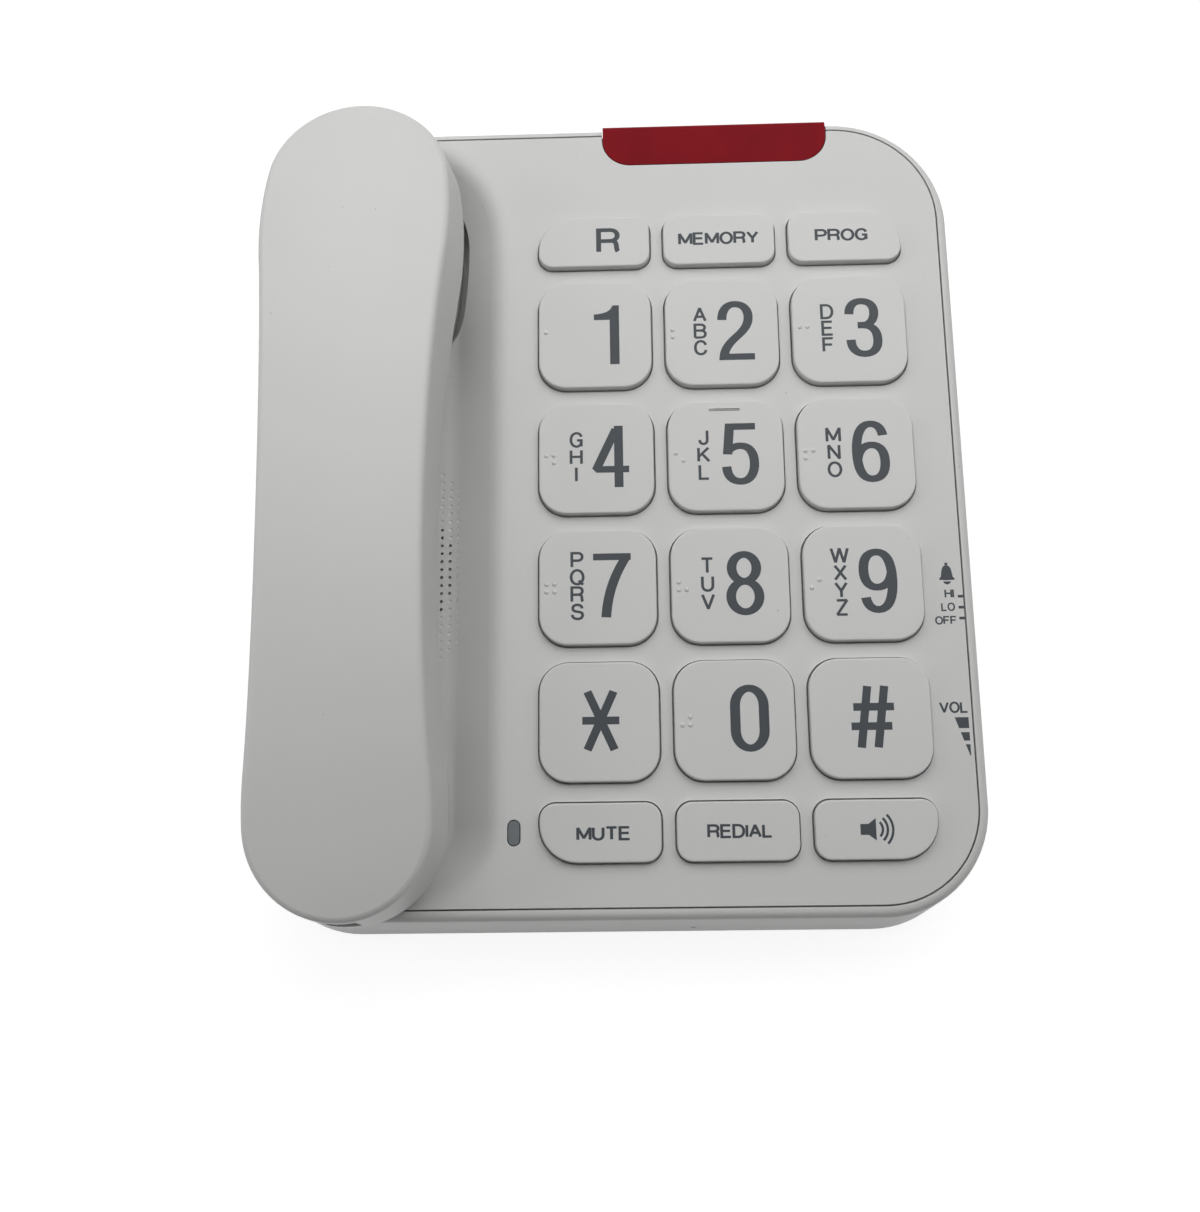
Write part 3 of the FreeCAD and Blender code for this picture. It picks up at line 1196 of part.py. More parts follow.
def key(name, x, y, height, radii):
    body = new_body(name)
    wide, tall = "key_width / 2", f"{height} / 2"
    cap = new_sketch(body, "cap", lift=FLANGE_TOP)
    rounded(cap, f"-{wide}", wide, f"-({tall})", tall, radii)
    pad(body, cap, "cap", "cover_wall + rest_gap + key_proud")
    flange = new_sketch(body, "flange", lift=FLANGE_FOOT)
    out, far = f"({wide} + flange_lip)", f"({tall} + flange_lip)"
    rounded(flange, f"-{out}", out, f"-{far}", far)
    pad(body, flange, "flange", "flange_thick")
    hollow = new_sketch(body, "hollow", lift=FLANGE_FOOT)
    across, along = f"({wide} - key_shell)", f"({tall} - key_shell)"
    rounded(hollow, f"-{across}", across, f"-{along}", along)
    pocket(body, hollow, "hollow", f"key_proud - key_shell - {FLANGE_FOOT}", Reversed=True)
    post = new_sketch(body, "post", lift=FLANGE_FOOT)
    half = "dome_width / 4"
    rounded(post, f"-{half}", half, f"-{half}", half)
    pad(body, post, "post", f"key_proud - key_shell / 2 - {FLANGE_FOOT}")
    if name == "key_5":
        bar = new_sketch(body, "bar", lift="key_proud - rest_gap")
        low = f"{tall} - key_shell * 1.5"
        rounded(bar, "-five_bar_length / 2", "five_bar_length / 2", low, f"{low} + five_bar_width")
        pad(body, bar, "bar", "five_bar_proud + rest_gap")
    stand_on_face(body, x, y)
    return body


def keypad_mat():
    rubber = [block("-block_half", "block_half", "-block_front", "block_rear", BOARD_TOP, MAT_TOP)]
    dome_foot, dome_top = f"{MAT_TOP} - mat_thick / 2", f"{FLANGE_FOOT} - rest_gap"
    for _, x, y, _, _ in key_places():
        rubber.append(prism(x, y, dome_foot, dome_top, "dome_width / 2", 8))
    mat = joined("keypad_mat", rubber)
    stand_on_face(mat)
    return mat


def main_board():
    body = new_body("main_board")
    outline = new_sketch(body, "outline", lift=BOARD_FOOT)
    across = "(block_half + board_margin)"
    front, rear = "-(block_front + board_front)", "block_rear + board_rear"
    corners = ["key_shell", "board_corner", "key_shell", "key_shell"]
    rounded(outline, f"-{across}", across, front, rear, corners)
    pad(body, outline, "board", "board_thick")
    tab = new_sketch(body, "tab", lift=BOARD_FOOT)
    reach, half = "(status_x + status_half + slip)", "(status_length / 2 + 1)"
    rounded(tab, f"-{reach}", f"-{across} + 2", f"-status_y - {half}", f"-status_y + {half}")
    pad(body, tab, "tab", "board_thick")
    holes = holes_on(body, "holes", BOARD_FOOT, board_screw_places(), "screw_radius + rest_gap")
    pocket(body, holes, "holes", Reversed=True)
    stand_on_face(body)
    return body


def board_insides():
    foot = BOARD_FOOT
    chip = centred_block("0", "row_pitch", "chip_side", "chip_side", f"{foot} - head_height", foot)
    coil_foot = f"{foot} - coil_side * 0.8"
    coil = centred_block("-key_pitch", "row_pitch", "coil_side", "coil_side", coil_foot, foot)
    places, can_foot = ("key_pitch / 2", "key_pitch"), f"{foot} - can_height"
    cans = [rod(x, "row_pitch * 1.8", can_foot, foot, "can_radius") for x in places]
    plug_foot = f"{foot} - can_radius"
    plug = centred_block("-key_pitch", "-row_pitch * 1.5", "chip_side", "can_radius", plug_foot, foot)
    components = group("board_parts", [chip, coil, *cans, plug])
    screws = [screw(x, y, foot, "-(cover_wall + rest_gap)") for x, y in board_screw_places()]
    fixings = group("board_screws", screws)
    width, depth = "status_half * 1.6", "status_length / 2"
    lamp = centred_block("-status_x", "-status_y", width, depth, BOARD_TOP, STATUS_TOP)
    lamp.Label = "status_led"
    return [seated(thing) for thing in (components, fixings, lamp)]


def lights():
    lens = new_body("ring_lens")
    side = new_sketch(lens, "side", "YZ_Plane", "-lens_left")
    back = "(face_rear + lens_proud)"
    polygon(
        side,
        [
            ("lens_front", "0"),
            ("lens_front", "-lens_thick"),
            (f"{back} - lens_thick - lens_thick * tan(face_tilt)", "-lens_thick"),
            (f"{back} - lens_thick - lens_drop * tan(face_tilt)", "-lens_drop"),
            (f"{back} - lens_drop * tan(face_tilt)", "-lens_drop"),
            (back, "0"),
        ],
    )
    pad(lens, side, "bar", "lens_left + lens_right")
    front, rear = value("lens_front") + 0.01, value(back) - 0.01
    upright_edges = lambda box, edge: box.YMax < front and box.ZLength > 1
    rear_edges = lambda box, edge: box.YMin > rear and box.XLength > 9
    dress(lens, "Fillet", "corners", upright_edges, Radius="lens_corner")
    dress(lens, "Fillet", "bend", rear_edges, Radius="lens_bend")
    stand_on_face(lens)
    guide = new_body("status_lens")
    pill = new_sketch(guide, "pill")
    status_outline(pill, "0")
    pad(guide, pill, "pill", f"-{STATUS_TOP} - rest_gap", Reversed=True)
    stand_on_face(guide)
    strip_foot, front_edge = f"{STRIP_TOP} - strip_thick", "lens_front - slip"
    back_edge = f"{front_edge} + strip_width"
    strip = block("-strip_half", "strip_half", front_edge, back_edge, strip_foot, STRIP_TOP)
    strip.Label = "ring_light_board"
    leds = []
    y, lamp_top = "lens_front + strip_width / 2", f"{STRIP_TOP} + lamp_height"
    for step in (-1.5, -0.5, 0.5, 1.5):
        x = f"lamp_pitch * {step}"
        leds.append(centred_block(x, y, "lamp_length", "lamp_length", STRIP_TOP, lamp_top))
    leds = group("ring_light_leds", leds)
    return [lens, guide, seated(strip), seated(leds)]


def turned(label, x, y, points):
    """A round piece about an upright axis, from half of its section."""
    body = new_body(label)
    sketch = new_sketch(body, "section", "XZ_Plane")
    polygon(sketch, points)
    doc.recompute()
    grow(body, "Revolution", sketch, "turned", ReferenceAxis=(sketch, ["V_Axis"]), Angle=360)
    stand_on_face(body, x, y)
    return body


def loudspeaker():
    rim_foot = f"({BOWL_FOOT} - speaker_rim)"
    basket_foot = f"({BOWL_FOOT} - basket_depth)"
    inner_rim = "(speaker_radius - rim_width)"
    basket = turned(
        "speaker_basket",
        "-speaker_x",
        "-speaker_y",
        [
            (inner_rim, BOWL_FOOT),
            ("speaker_radius", BOWL_FOOT),
            ("speaker_radius", rim_foot),
            (f"{inner_rim} + basket_wall", rim_foot),
            (f"{inner_rim} + basket_wall", basket_foot),
            ("magnet_radius / 2", basket_foot),
            ("magnet_radius / 2", f"{basket_foot} + basket_wall"),
            (inner_rim, f"{basket_foot} + basket_wall"),
        ],
    )
    cone_foot = f"({basket_foot} + basket_wall + cone_wall)"
    cone = turned(
        "speaker_cone",
        "-speaker_x",
        "-speaker_y",
        [
            ("0", f"{cone_foot} + cone_wall"),
            ("magnet_radius / 2", f"{cone_foot} + cone_wall"),
            (f"{inner_rim} - slip", rim_foot),
            (f"{inner_rim} - slip", f"{rim_foot} + cone_wall"),
            ("magnet_radius / 2", f"{cone_foot} + cone_wall * 2.4"),
            ("0", f"{cone_foot} + cone_wall * 2.4"),
        ],
    )
    magnet_foot = f"{basket_foot} - magnet_height"
    magnet = rod("-speaker_x", "-speaker_y", magnet_foot, basket_foot, "magnet_radius")
    magnet.Label = "speaker_magnet"
    screws = []
    for x, y in speaker_screw_places():
        screws.append(screw(x, y, rim_foot, BOWL_FOOT, "speaker_head"))
    screws = group("speaker_screws", screws)
    return [basket, cone, seated(magnet), seated(screws)]


def hook_parts():
    axis = ("-cradle_from_keys", "plunger_y")
    collar_foot = f"({WELL_FOOT} - plunger_stem)"
    collar_top = f"({collar_foot} + plunger_flange)"
    pin = rod(*axis, collar_foot, "-well_depth + plunger_proud", "plunger_radius")
    collar = rod(*axis, collar_foot, collar_top, "collar_radius")
    plunger = joined("hook_plunger", [pin, collar])
    stand_on_face(plunger)
    spring = cut(
        "hook_spring",
        rod(*axis, HOOK_TOP, collar_foot, "spring_radius"),
        rod(*axis, f"{HOOK_TOP} - 1", f"{collar_foot} + 1", "spring_radius - spring_wire"),
    )
    stand_on_face(spring)
    switch = centred_block(*axis, "hook_switch_width", "hook_switch_depth", HOOK_FOOT, HOOK_TOP)
    switch.Label = "hook_switch"
    tab_foot, tab_middle = "-(well_depth + tab_depth)", "tab_y + tab_thick / 2"
    tab = centred_block("-cradle_from_keys", tab_middle, "tab_width", "tab_thick", tab_foot, "-well_depth")
    tab.Label = "hanging_tab"
    return [plunger, spring, seated(switch), seated(tab)]


# Base: pieces on its walls and floor, in the telephone's own frame

def knob(label, y, rest):
    """A slide knob outside the right wall with its stem through the slot, at its rest position."""
    near, far = "(case_width / 2 + rest_gap)", "(case_width / 2 + rest_gap + knob_proud)"
    middle = f"({y} + ({rest}))"

    def bar(x0, x1, centre, width, height):
        y0, y1 = f"{centre} - {width} / 2", f"{centre} + {width} / 2"
        return block(x0, x1, y0, y1, f"slide_height - {height} / 2", f"slide_height + {height} / 2")

    outer = bar(near, far, middle, "knob_length", "knob_height")
    stem = bar(f"{SWITCH_FACE} + rest_gap", near, middle, "stem_length", "stem_height")
    grooves = []
    for step in (-2, -1, 0, 1, 2):
        centre = f"{middle} + {step} * knob_rib * 3"
        grooves.append(bar(f"{far} - knob_rib", f"{far} + 1", centre, "knob_rib", "knob_height * 2"))
    return cut(label, joined(f"{label}_blank", [outer, stem]), group(f"{label}_grooves", grooves))


def slide_switch(label, y, travel):
    half = f"({travel} / 2 + slide_switch_ends)"
    low, high = "slide_height - slide_switch_height / 2", "slide_height + slide_switch_height / 2"
    inner = f"{SWITCH_FACE} - slide_switch_depth"
    body = block(inner, SWITCH_FACE, f"{y} - {half}", f"{y} + {half}", low, high)
    body.Label = label
    return own_node(body)


def socket(label, width, bore, stand):
    """A modular socket drawn with its mouth towards the front, then turned to its wall."""
    body = new_body(label)
    front = new_sketch(body, "front", "XZ_Plane")
    half = f"{width} / 2"
    rounded(front, f"-{half}", half, "0", "socket_height")
    pad(body, front, "housing", "socket_depth", Reversed=True)
    mouth = new_sketch(body, "mouth", "XZ_Plane")
    low = "(socket_height - socket_bore) / 2"
    rounded(mouth, f"-{bore} / 2", f"{bore} / 2", low, f"{low} + socket_bore")
    pocket(body, mouth, "bore", "socket_reach")
    latch = new_sketch(body, "latch", "XZ_Plane")
    rounded(latch, "-latch_width / 2", "latch_width / 2", f"{low} - latch_height", f"{low} + rest_gap")
    pocket(body, latch, "latch", "socket_reach")
    stand(body)
    return body


def sockets():
    def rear(body):
        body.Placement = FreeCAD.Placement(V(), FreeCAD.Rotation(V(0, 0, 1), 180))
        place(body, "line_x", "plan_half", "socket_lift")

    def left(body):
        body.Placement = FreeCAD.Placement(V(), FreeCAD.Rotation(V(0, 0, 1), -90))
        place(body, "-case_width / 2", "-cord_y", "socket_lift")

    def in_handset(body):
        stand_on_face(body, "-cradle_from_keys", f"-{SOCKET_FRONT}", SOCKET_SILL)

    return [
        socket("line_socket", "line_width", "line_bore", rear),
        socket("cord_socket", "cord_width", "cord_bore", left),
        socket("handset_socket", "cord_width", "cord_bore", in_handset),
    ]


def base_fittings():
    feet = [rod(x, y, "0", "foot_height + foot_recess", "foot_radius") for x, y in FEET]
    screws = []
    for x, y, _ in screw_places():
        seat = "(post_top - post_land)"
        screws.append(screw(f"{FACE_X} + ({x})", y, seat, "post_top + screw_bite"))
    wall = f"(-plan_half + {INNER_INSET})"
    left, right = f"{BASE_MIC_X} - capsule_radius - boot_wall", f"{BASE_MIC_X} + capsule_radius + boot_wall"
    rear, top = f"{wall} + capsule_height + boot_wall", "base_mic_height + capsule_radius + boot_wall"
    rubber = block(left, right, wall, rear, FLOOR, top)
    bore = lying_rod(BASE_MIC_X, f"{wall} - 1", "base_mic_height", "capsule_height + 1", "capsule_radius")
    boot = cut("base_microphone_boot", rubber, bore)
    capsule = lying_rod(BASE_MIC_X, wall, "base_mic_height", "capsule_height", "capsule_radius - slip")
    capsule.Label = "base_microphone"
    return [group("rubber_feet", feet), group("case_screws", screws), boot, own_node(capsule)]


def lying_rod(x, y, z, length, radius):
    """A rod along y, from its front end."""
    thing = doc.addObject("Part::Cylinder", "Rod")
    thing.Placement = FreeCAD.Placement(V(), FreeCAD.Rotation(V(1, 0, 0), -90))
    bind(thing, "Radius", radius)
    bind(thing, "Height", length)
    return place(thing, x, y, z)


def slides():
    return [
        slide_switch("ringer_switch", "-ringer_y", "ringer_travel"),
        slide_switch("volume_switch", "-volume_y", "volume_travel"),
        knob("ringer_knob", "-ringer_y", "ringer_travel / 2"),
        knob("volume_knob", "-volume_y", "0"),
    ]


nodes = [handset_outer_shell(), handset_inner_shell(), *handset_insides()]
nodes += [lower_case(), upper_cover()]
nodes += [key(*places) for places in key_places()]
nodes += [keypad_mat(), main_board(), *board_insides(), *lights(), *loudspeaker(), *hook_parts()]
nodes += [*slides(), *sockets(), *base_fittings()]
doc.recompute()

# Every object must have been built before anything is written
for thing in doc.Objects:
    if {"Invalid", "Error"} & set(thing.State):
        raise RuntimeError(f"{thing.Name} failed: {thing.State}")
for node in nodes:
    if node.Shape.isNull() or not node.Shape.isValid() or not node.Shape.Solids:
        raise RuntimeError(f"{node.Label} has no valid shape")

os.makedirs("parts", exist_ok=True)
for node in nodes:
    node.Shape.exportStep(os.path.join("parts", f"{node.Label}.step"))
print(len(nodes), "nodes written")
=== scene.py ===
import math
import re

import bmesh
import bpy
from mathutils import Matrix, Vector
from mathutils.bvhtree import BVHTree
from mathutils.geometry import barycentric_transform, convex_hull_2d, delaunay_2d_cdt


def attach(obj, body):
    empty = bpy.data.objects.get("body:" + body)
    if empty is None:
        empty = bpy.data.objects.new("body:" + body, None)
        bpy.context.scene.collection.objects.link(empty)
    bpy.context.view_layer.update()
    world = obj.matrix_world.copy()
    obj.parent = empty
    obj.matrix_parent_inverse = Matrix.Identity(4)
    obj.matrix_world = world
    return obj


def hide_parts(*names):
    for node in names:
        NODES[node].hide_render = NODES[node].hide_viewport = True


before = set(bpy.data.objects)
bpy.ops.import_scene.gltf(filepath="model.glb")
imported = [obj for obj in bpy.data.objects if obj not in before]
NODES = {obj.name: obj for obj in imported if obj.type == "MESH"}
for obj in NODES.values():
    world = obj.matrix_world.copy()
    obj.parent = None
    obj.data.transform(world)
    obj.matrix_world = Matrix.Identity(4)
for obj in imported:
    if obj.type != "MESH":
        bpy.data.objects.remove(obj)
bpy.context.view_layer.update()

# The face of the telephone slopes. Its pieces are drawn in millimetres in a frame of its own:
# u to the right and v up the slope from the middle of the key block, w out of the face.
MM = 0.001
TILT = math.radians(9.0)
FACE_ORIGIN = Vector((0.0307, -0.00711, 0.04153))
FACE = Matrix.Translation(FACE_ORIGIN) @ Matrix.Rotation(TILT, 4, "X") @ Matrix.Scale(MM, 4)
PLAIN = Matrix.Scale(MM, 4)

# Angles in degrees: an edge that turns more than this is shaded sharp
SHARP_EDGE = 32
KEY_SHARP_EDGE = 24
SMALL_SHARP_EDGE = 60

# Keys
KEY_WIDTH = 30.0
BAR_HEIGHT = 14.6
KEY_PITCH = 33.57
ROW_PITCH = 34.31
TOP_BAR = 78.27
LOW_BAR = -78.66
KEY_ROUND = 7.5
BAR_ROUND = 4.0
BLOCK_ROUND = 9.5
SHARPEST_CORNER = 0.2
CORNER_STEPS = 9
KEY_PROUD = 2.0
KEY_FOOT = -3.8
FLANGE_THICK = 1.2
FLANGE_LIP = 1.2
KEY_SHELL = 2.2
# the sides lean in by the draft at the edge's foot, and by part of it where they pass the face
KEY_DRAFT = 0.1
FACE_DRAFT = 0.6 * KEY_DRAFT
KEY_EDGE = 0.4
EDGE_STEPS = 6
TOP_RIM = 0.4

# Raised dots, and the raised bar near the back edge of the middle key. They start below the key's top.
RAISED_ROOT = 0.05
RAISED_STEPS = 4
DOT_RADIUS = 0.62
DOT_TIP_RADIUS = 0.02
DOT_HEIGHT = 0.32
# the round of a dot is drawn up to this turn, in degrees, and closed flat there
DOT_TURN = 85
DOT_SIDES = 16
DOT_PITCH = 2.0
FIRST_DOT = (-13.0, 0.8)
FIVE_BAR_LENGTH = 8.3
FIVE_BAR_WIDTH = 0.8
FIVE_BAR_HEIGHT = 0.35
FIVE_BAR_ROUND = 0.8 * FIVE_BAR_WIDTH / 2
FIVE_BAR_AT = 12.6

# Print on the keys and the face. A pen is its width where it runs upright and where it lies flat.
INK_PROUD = 0.02
INK_DEPTH = 0.06
LETTER_PEN = (2.0, 1.8)
DIGIT_PEN = (2.5, 1.78)
SYMBOL_PEN = (2.1, 1.95)
WORD_PEN = (2.25, 2.1)
R_PEN = (1.95, 1.75)
WAVE_PEN = (0.6, 0.6)
CURVE_STEPS = 8
WAVE_STEPS = 10
SHARPEST_MITRE = 1.6
SMALLEST_COSINE = 0.01
PRINT_WELD = 1e-5
DIGIT_OFFSET = (3.7, 0.3)
DIGIT_SIZE = (9.6, 16.7)
ONE_OFFSET = (-0.25, -8.5)
SYMBOL_OFFSET = (0.4, 0.2)
SYMBOL_SIZES = {"*": (9.2, 15.3), "#": (10.7, 15.5)}
LETTER_HEIGHT = 10.0
LETTER_SCALE = 0.365
LETTER_GAP = 2.4
LETTER_OFFSET = (-5.7, 0.3)
LETTER_SHIFTS = {"key_4": 0.5, "key_7": 0.5}
LETTER_PITCHES = {3: 4.7, 4: 4.5}

# Sound holes in the cradle; the reaches are in steps of the grid
GRILLE_MIDDLE = (-92.5, -9.1)
GRILLE_PITCH = 2.17
GRILLE_COLUMNS = 10
GRILLE_ROWS = 18
THROUGH_REACH = 9.7
DIMPLE_REACH = 14.2
DIMPLE_SHIFT = 0.5
HOLE_RADIUS = 0.44
HOLE_LEAD = 1.0
HOLE_DEPTH = 1.6
HOLE_SIDES = 10
DIMPLE_RADIUS = 0.56
DIMPLE_DEPTH = 0.22
DIMPLE_LIFT = 0.02
DIMPLE_RINGS = (1.2, 1.0, 0.75, 0.4)
CRADLE_DEPTH = 9.5
FLOOR_SLACK = 0.05
ABOVE_THE_FACE = 40.0

# Imported meshes, in metres: what counts as one point, and as a face of the same surface
WELD_DISTANCE = 1e-6
SAME_SURFACE = 2e-6
SAME_FACING = 0.99

# Screws: the cross recess is given by its arm, half width and depth, at its mouth and at its floor
HEAD_RADIUS = 2.8
HEAD_HEIGHT = 1.6
HEAD_FLAT = 1.95
HEAD_CROWN = 0.85
HEAD_STEPS = 5
SHANK_RADIUS = 1.5
THREAD_ROOT = 0.8 * SHANK_RADIUS
THREAD_PITCH = 1.1
PLAIN_SHANK = 0.6
POINT_LENGTH = 2.4
TAPER_LENGTH = 0.8
TAPER_RADIUS = 0.55 * SHANK_RADIUS
TIP_RADIUS = 0.25
SCREW_SIDES = 28
RECESS = ((1.6, 0.36, 0.0), (0.95, 0.26, 1.05))

# Feet: the moulded ring is given by radius and level, the round of the tread by its turns in radians
FOOT_RING = ((2.2, 0.35), (2.5, 0.1), (2.9, 0.0))
FOOT_ROUND = 0.9
FOOT_TURNS = (0.4, 0.8, 1.2, 1.57)
FOOT_SIDES = 36

# Contacts: the wire's path is given by its depth in the socket and its height over the top of the bore
CONTACT_COUNT = 4
CONTACT_PITCH = 1.27
CONTACT_WIRE = 0.24
CONTACT_SIDES = 8
CONTACT_PATH = (
    *((1.3, 0.1), (1.5, -0.35), (1.9, -0.65), (5.6, -1.75)),
    *((9.4, -2.6), (10.4, -2.45), (11.3, -1.6)),
)
SOCKET_BORE = 6.8

# Studio, in metres and watts: each lamp has its place, size and power
FLOOR_HALF = 6.0
FLOOR_GLOW = 0.88
FLOOR_VEIL = 0.28
ROOM_LIGHT = 0.07
SOFT_BOXES = {
    "rear_box": ((0.0, 0.25, 0.5), (0.7, 0.5), 1.76),
    "overhead_box": ((0.0, 0.0, 0.9), (1.0, 0.8), 0.72),
    "right_box": ((0.6, 0.2, 0.7), (0.6, 0.6), 1.66),
    "left_box": ((-0.7, 0.0, 0.35), (0.5, 0.4), 1.12),
}

# Camera: where the photograph was taken from, in millimetres and degrees in the face frame
CAMERA_PLACE = (-24.52, -89.82, 315.91)
CAMERA_TURN = (-12.16, -1.52, 0.98)
FOCAL_PIXELS = 1270.0
PHOTO_PIXELS = (1200, 1212)
SENSOR_WIDTH = 36.0
CLIP_START = 0.01
CLIP_END = 20.0


# Finishes


class Value:
    """One output in a material's node tree, which arithmetic may be done on."""

    def __init__(self, finish, socket):
        self.finish = finish
        self.socket = socket

    def maths(self, operation, first, second):
        return self.finish.node("ShaderNodeMath", {"operation": operation}, {0: first, 1: second})

    def __add__(self, other):
        return self.maths("ADD", self, other)

    def __sub__(self, other):
        return self.maths("SUBTRACT", self, other)

    def __rsub__(self, other):
        return self.maths("SUBTRACT", other, self)

    def __mul__(self, other):
        return self.maths("MULTIPLY", self, other)

    def __lt__(self, other):
        return self.maths("LESS_THAN", self, other)

    __radd__ = __add__
    __rmul__ = __mul__

    def clamped(self, low, high):
        """The value spread from low to high over 0 to 1, and held there beyond."""
        sockets = {"Value": self, "From Min": low, "From Max": high}
        return self.finish.node("ShaderNodeMapRange", {"clamp": True}, sockets)


class Finish:
    """A material, or a world made in another library, built node by node."""

    def __init__(self, name, library=None):
        self.made = (bpy.data.materials if library is None else library).new(name)
        self.made.use_nodes = True
        self.tree = self.made.node_tree
        self.tree.nodes.clear()
        self.place = None

    def node(self, kind, settings=None, sockets=None, output=0):
        """Adds a node: its settings come first, then the values or links of its sockets."""
        made = self.tree.nodes.new(kind)
        for name, setting in (settings or {}).items():
            setattr(made, name, setting)
        for name, given in (sockets or {}).items():
            if isinstance(given, Value):
                self.tree.links.new(given.socket, made.inputs[name])
            else:
                made.inputs[name].default_value = given
        return Value(self, made.outputs[output])

    def position(self):
        """The place on the piece, in metres in the telephone's frame."""
        if self.place is None:
            self.place = self.node("ShaderNodeTexCoord", output="Object")
        return self.place

    def noise(self, size_mm, detail=2.0, roughness=0.5):
        """Noise from 0 to 1 whose blobs are about size_mm across."""
        sockets = {"Vector": self.position(), "Scale": 1 / (size_mm * MM), "Detail": detail}
        sockets["Roughness"] = roughness
        return self.node("ShaderNodeTexNoise", None, sockets)

    def specks(self, size_mm, radius):
        """1 inside sparse round specks, 0 elsewhere; radius is a share of size_mm."""
        sockets = {"Vector": self.position(), "Scale": 1 / (size_mm * MM)}
        return self.node("ShaderNodeTexVoronoi", None, sockets) < radius

    def mix(self, factor, first, second):
        settings = {"data_type": "RGBA"}
        return self.node("ShaderNodeMix", settings, {0: factor, 6: first, 7: second}, output=2)

    def bump(self, height, depth_mm, strength):
        sockets = {"Height": height, "Distance": depth_mm * MM, "Strength": strength}
        return self.node("ShaderNodeBump", None, sockets)

    def surface(self, **sockets):
        """The closing shader; an underscore stands for a space in a socket's name."""
        named = {name.replace("_", " "): given for name, given in sockets.items()}
        return self.close(self.node("ShaderNodeBsdfPrincipled", None, named))

    def close(self, shader, kind="ShaderNodeOutputMaterial"):
        out = self.tree.nodes.new(kind)
        self.tree.links.new(shader.socket, out.inputs["Surface"])
        return self.made

    def seen(self):
        """1 for rays that come from the camera, or off or through the object's gloss and glass."""
        kinds = ("Camera", "Glossy", "Transmission")
        rays = [self.node("ShaderNodeLightPath", output=f"Is {kind} Ray") for kind in kinds]
        return (rays[0] + rays[1] + rays[2]).clamped(0, 1)


def tint(red, green, blue):
    return (red, green, blue, 1.0)


def grey(level):
    return tint(level, level, level)


def shade(colour, factor):
    return tuple(c * factor for c in colour[:3]) + (1.0,)


def moulded_plastic(name, colour, gloss, grain_mm, grain_depth):
    """Spark-eroded injection moulding: a fine even grain, with faint clouds and a few dark specks."""
    f = Finish(name)
    clouds = f.noise(28, 3)
    grain = f.noise(grain_mm, 2, 0.6)
    fleck = f.specks(6.5, 0.045) * f.noise(14).clamped(0.52, 0.6)
    base = f.mix(clouds.clamped(0.3, 0.7), shade(colour, 0.975), colour)
    base = f.mix(fleck * 0.35, base, shade(colour, 0.45))
    rough = gloss + (grain - 0.5) * 0.12 + (clouds - 0.5) * 0.06
    return f.surface(
        Base_Color=base,
        Roughness=rough,
        Normal=f.bump(grain, grain_depth, 0.6),
        Specular_IOR_Level=0.45,
    )


def red_lens():
    """Deep red clear plastic over a shaded well, with a soft polish."""
    f = Finish("red_lens")
    depth = f.noise(9, 2)
    haze = f.noise(0.6, 2)
    base = f.mix(depth.clamped(0.3, 0.7), tint(0.235, 0.004, 0.010), tint(0.205, 0.004, 0.010))
    rough = 0.3 + haze * 0.05
    bump = f.bump(haze, 0.002, 0.3)
    return f.surface(Base_Color=base, Roughness=rough, Normal=bump, Specular_IOR_Level=0.05)


def smoked_lens():
    f = Finish("smoked_lens")
    depth = f.noise(1.5, 2)
    base = f.mix(depth, tint(0.075, 0.092, 0.1), tint(0.105, 0.125, 0.135))
    return f.surface(Base_Color=base, Roughness=0.2 + depth * 0.08, Coat_Weight=0.4, Coat_Roughness=0.1)


def ink():
    """Dark grey pad print, slightly uneven and duller than the key."""
    f = Finish("grey_print")
    patch = f.noise(1.2, 3)
    base = f.mix(patch, tint(0.04, 0.048, 0.056), tint(0.05, 0.058, 0.067))
    rough = 0.4 + patch * 0.14
    bump = f.bump(patch, 0.004, 0.4)
    return f.surface(Base_Color=base, Roughness=rough, Normal=bump, Specular_IOR_Level=0.3)


def rubber(name, colour):
    f = Finish(name)
    grain = f.noise(0.5, 3)
    dust = f.noise(9, 3)
    base = f.mix(dust.clamped(0.45, 0.75) * 0.5, colour, shade(colour, 1.5))
    return f.surface(Base_Color=base, Roughness=0.72 + grain * 0.16, Normal=f.bump(grain, 0.03, 0.6))


def circuit_board():
    f = Finish("circuit_board")
    weave = f.noise(0.4, 2)
    broad = f.noise(7, 3)
    base = f.mix(broad.clamped(0.42, 0.58), tint(0.018, 0.11, 0.05), tint(0.03, 0.17, 0.075))
    return f.surface(Base_Color=base, Roughness=0.3 + weave * 0.15, Normal=f.bump(weave, 0.01, 0.5))


def dark_plastic(name, level):
    f = Finish(name)
    grain = f.noise(0.35, 2)
    wear = f.noise(5, 3)
    base = f.mix(wear.clamped(0.4, 0.7), grey(level), grey(level * 1.35))
    return f.surface(Base_Color=base, Roughness=0.42 + grain * 0.2, Normal=f.bump(grain, 0.015, 0.5))


def metal(name, colour, roughness):
    """Drawn or plated metal with fine lines across it."""
    f = Finish(name)
    lines = f.noise(0.3, 4)
    tarnish = f.noise(6, 3)
    base = f.mix(tarnish.clamped(0.35, 0.75), colour, shade(colour, 0.8))
    rough = roughness + tarnish * 0.12
    return f.surface(Base_Color=base, Metallic=1.0, Roughness=rough, Normal=f.bump(lines, 0.006, 0.5))


def paper_cone():
    f = Finish("paper_cone")
    fibres = f.noise(0.5, 5, 0.7)
    base = f.mix(fibres, grey(0.035), grey(0.075))
    return f.surface(Base_Color=base, Roughness=0.9, Normal=f.bump(fibres, 0.05, 0.8))


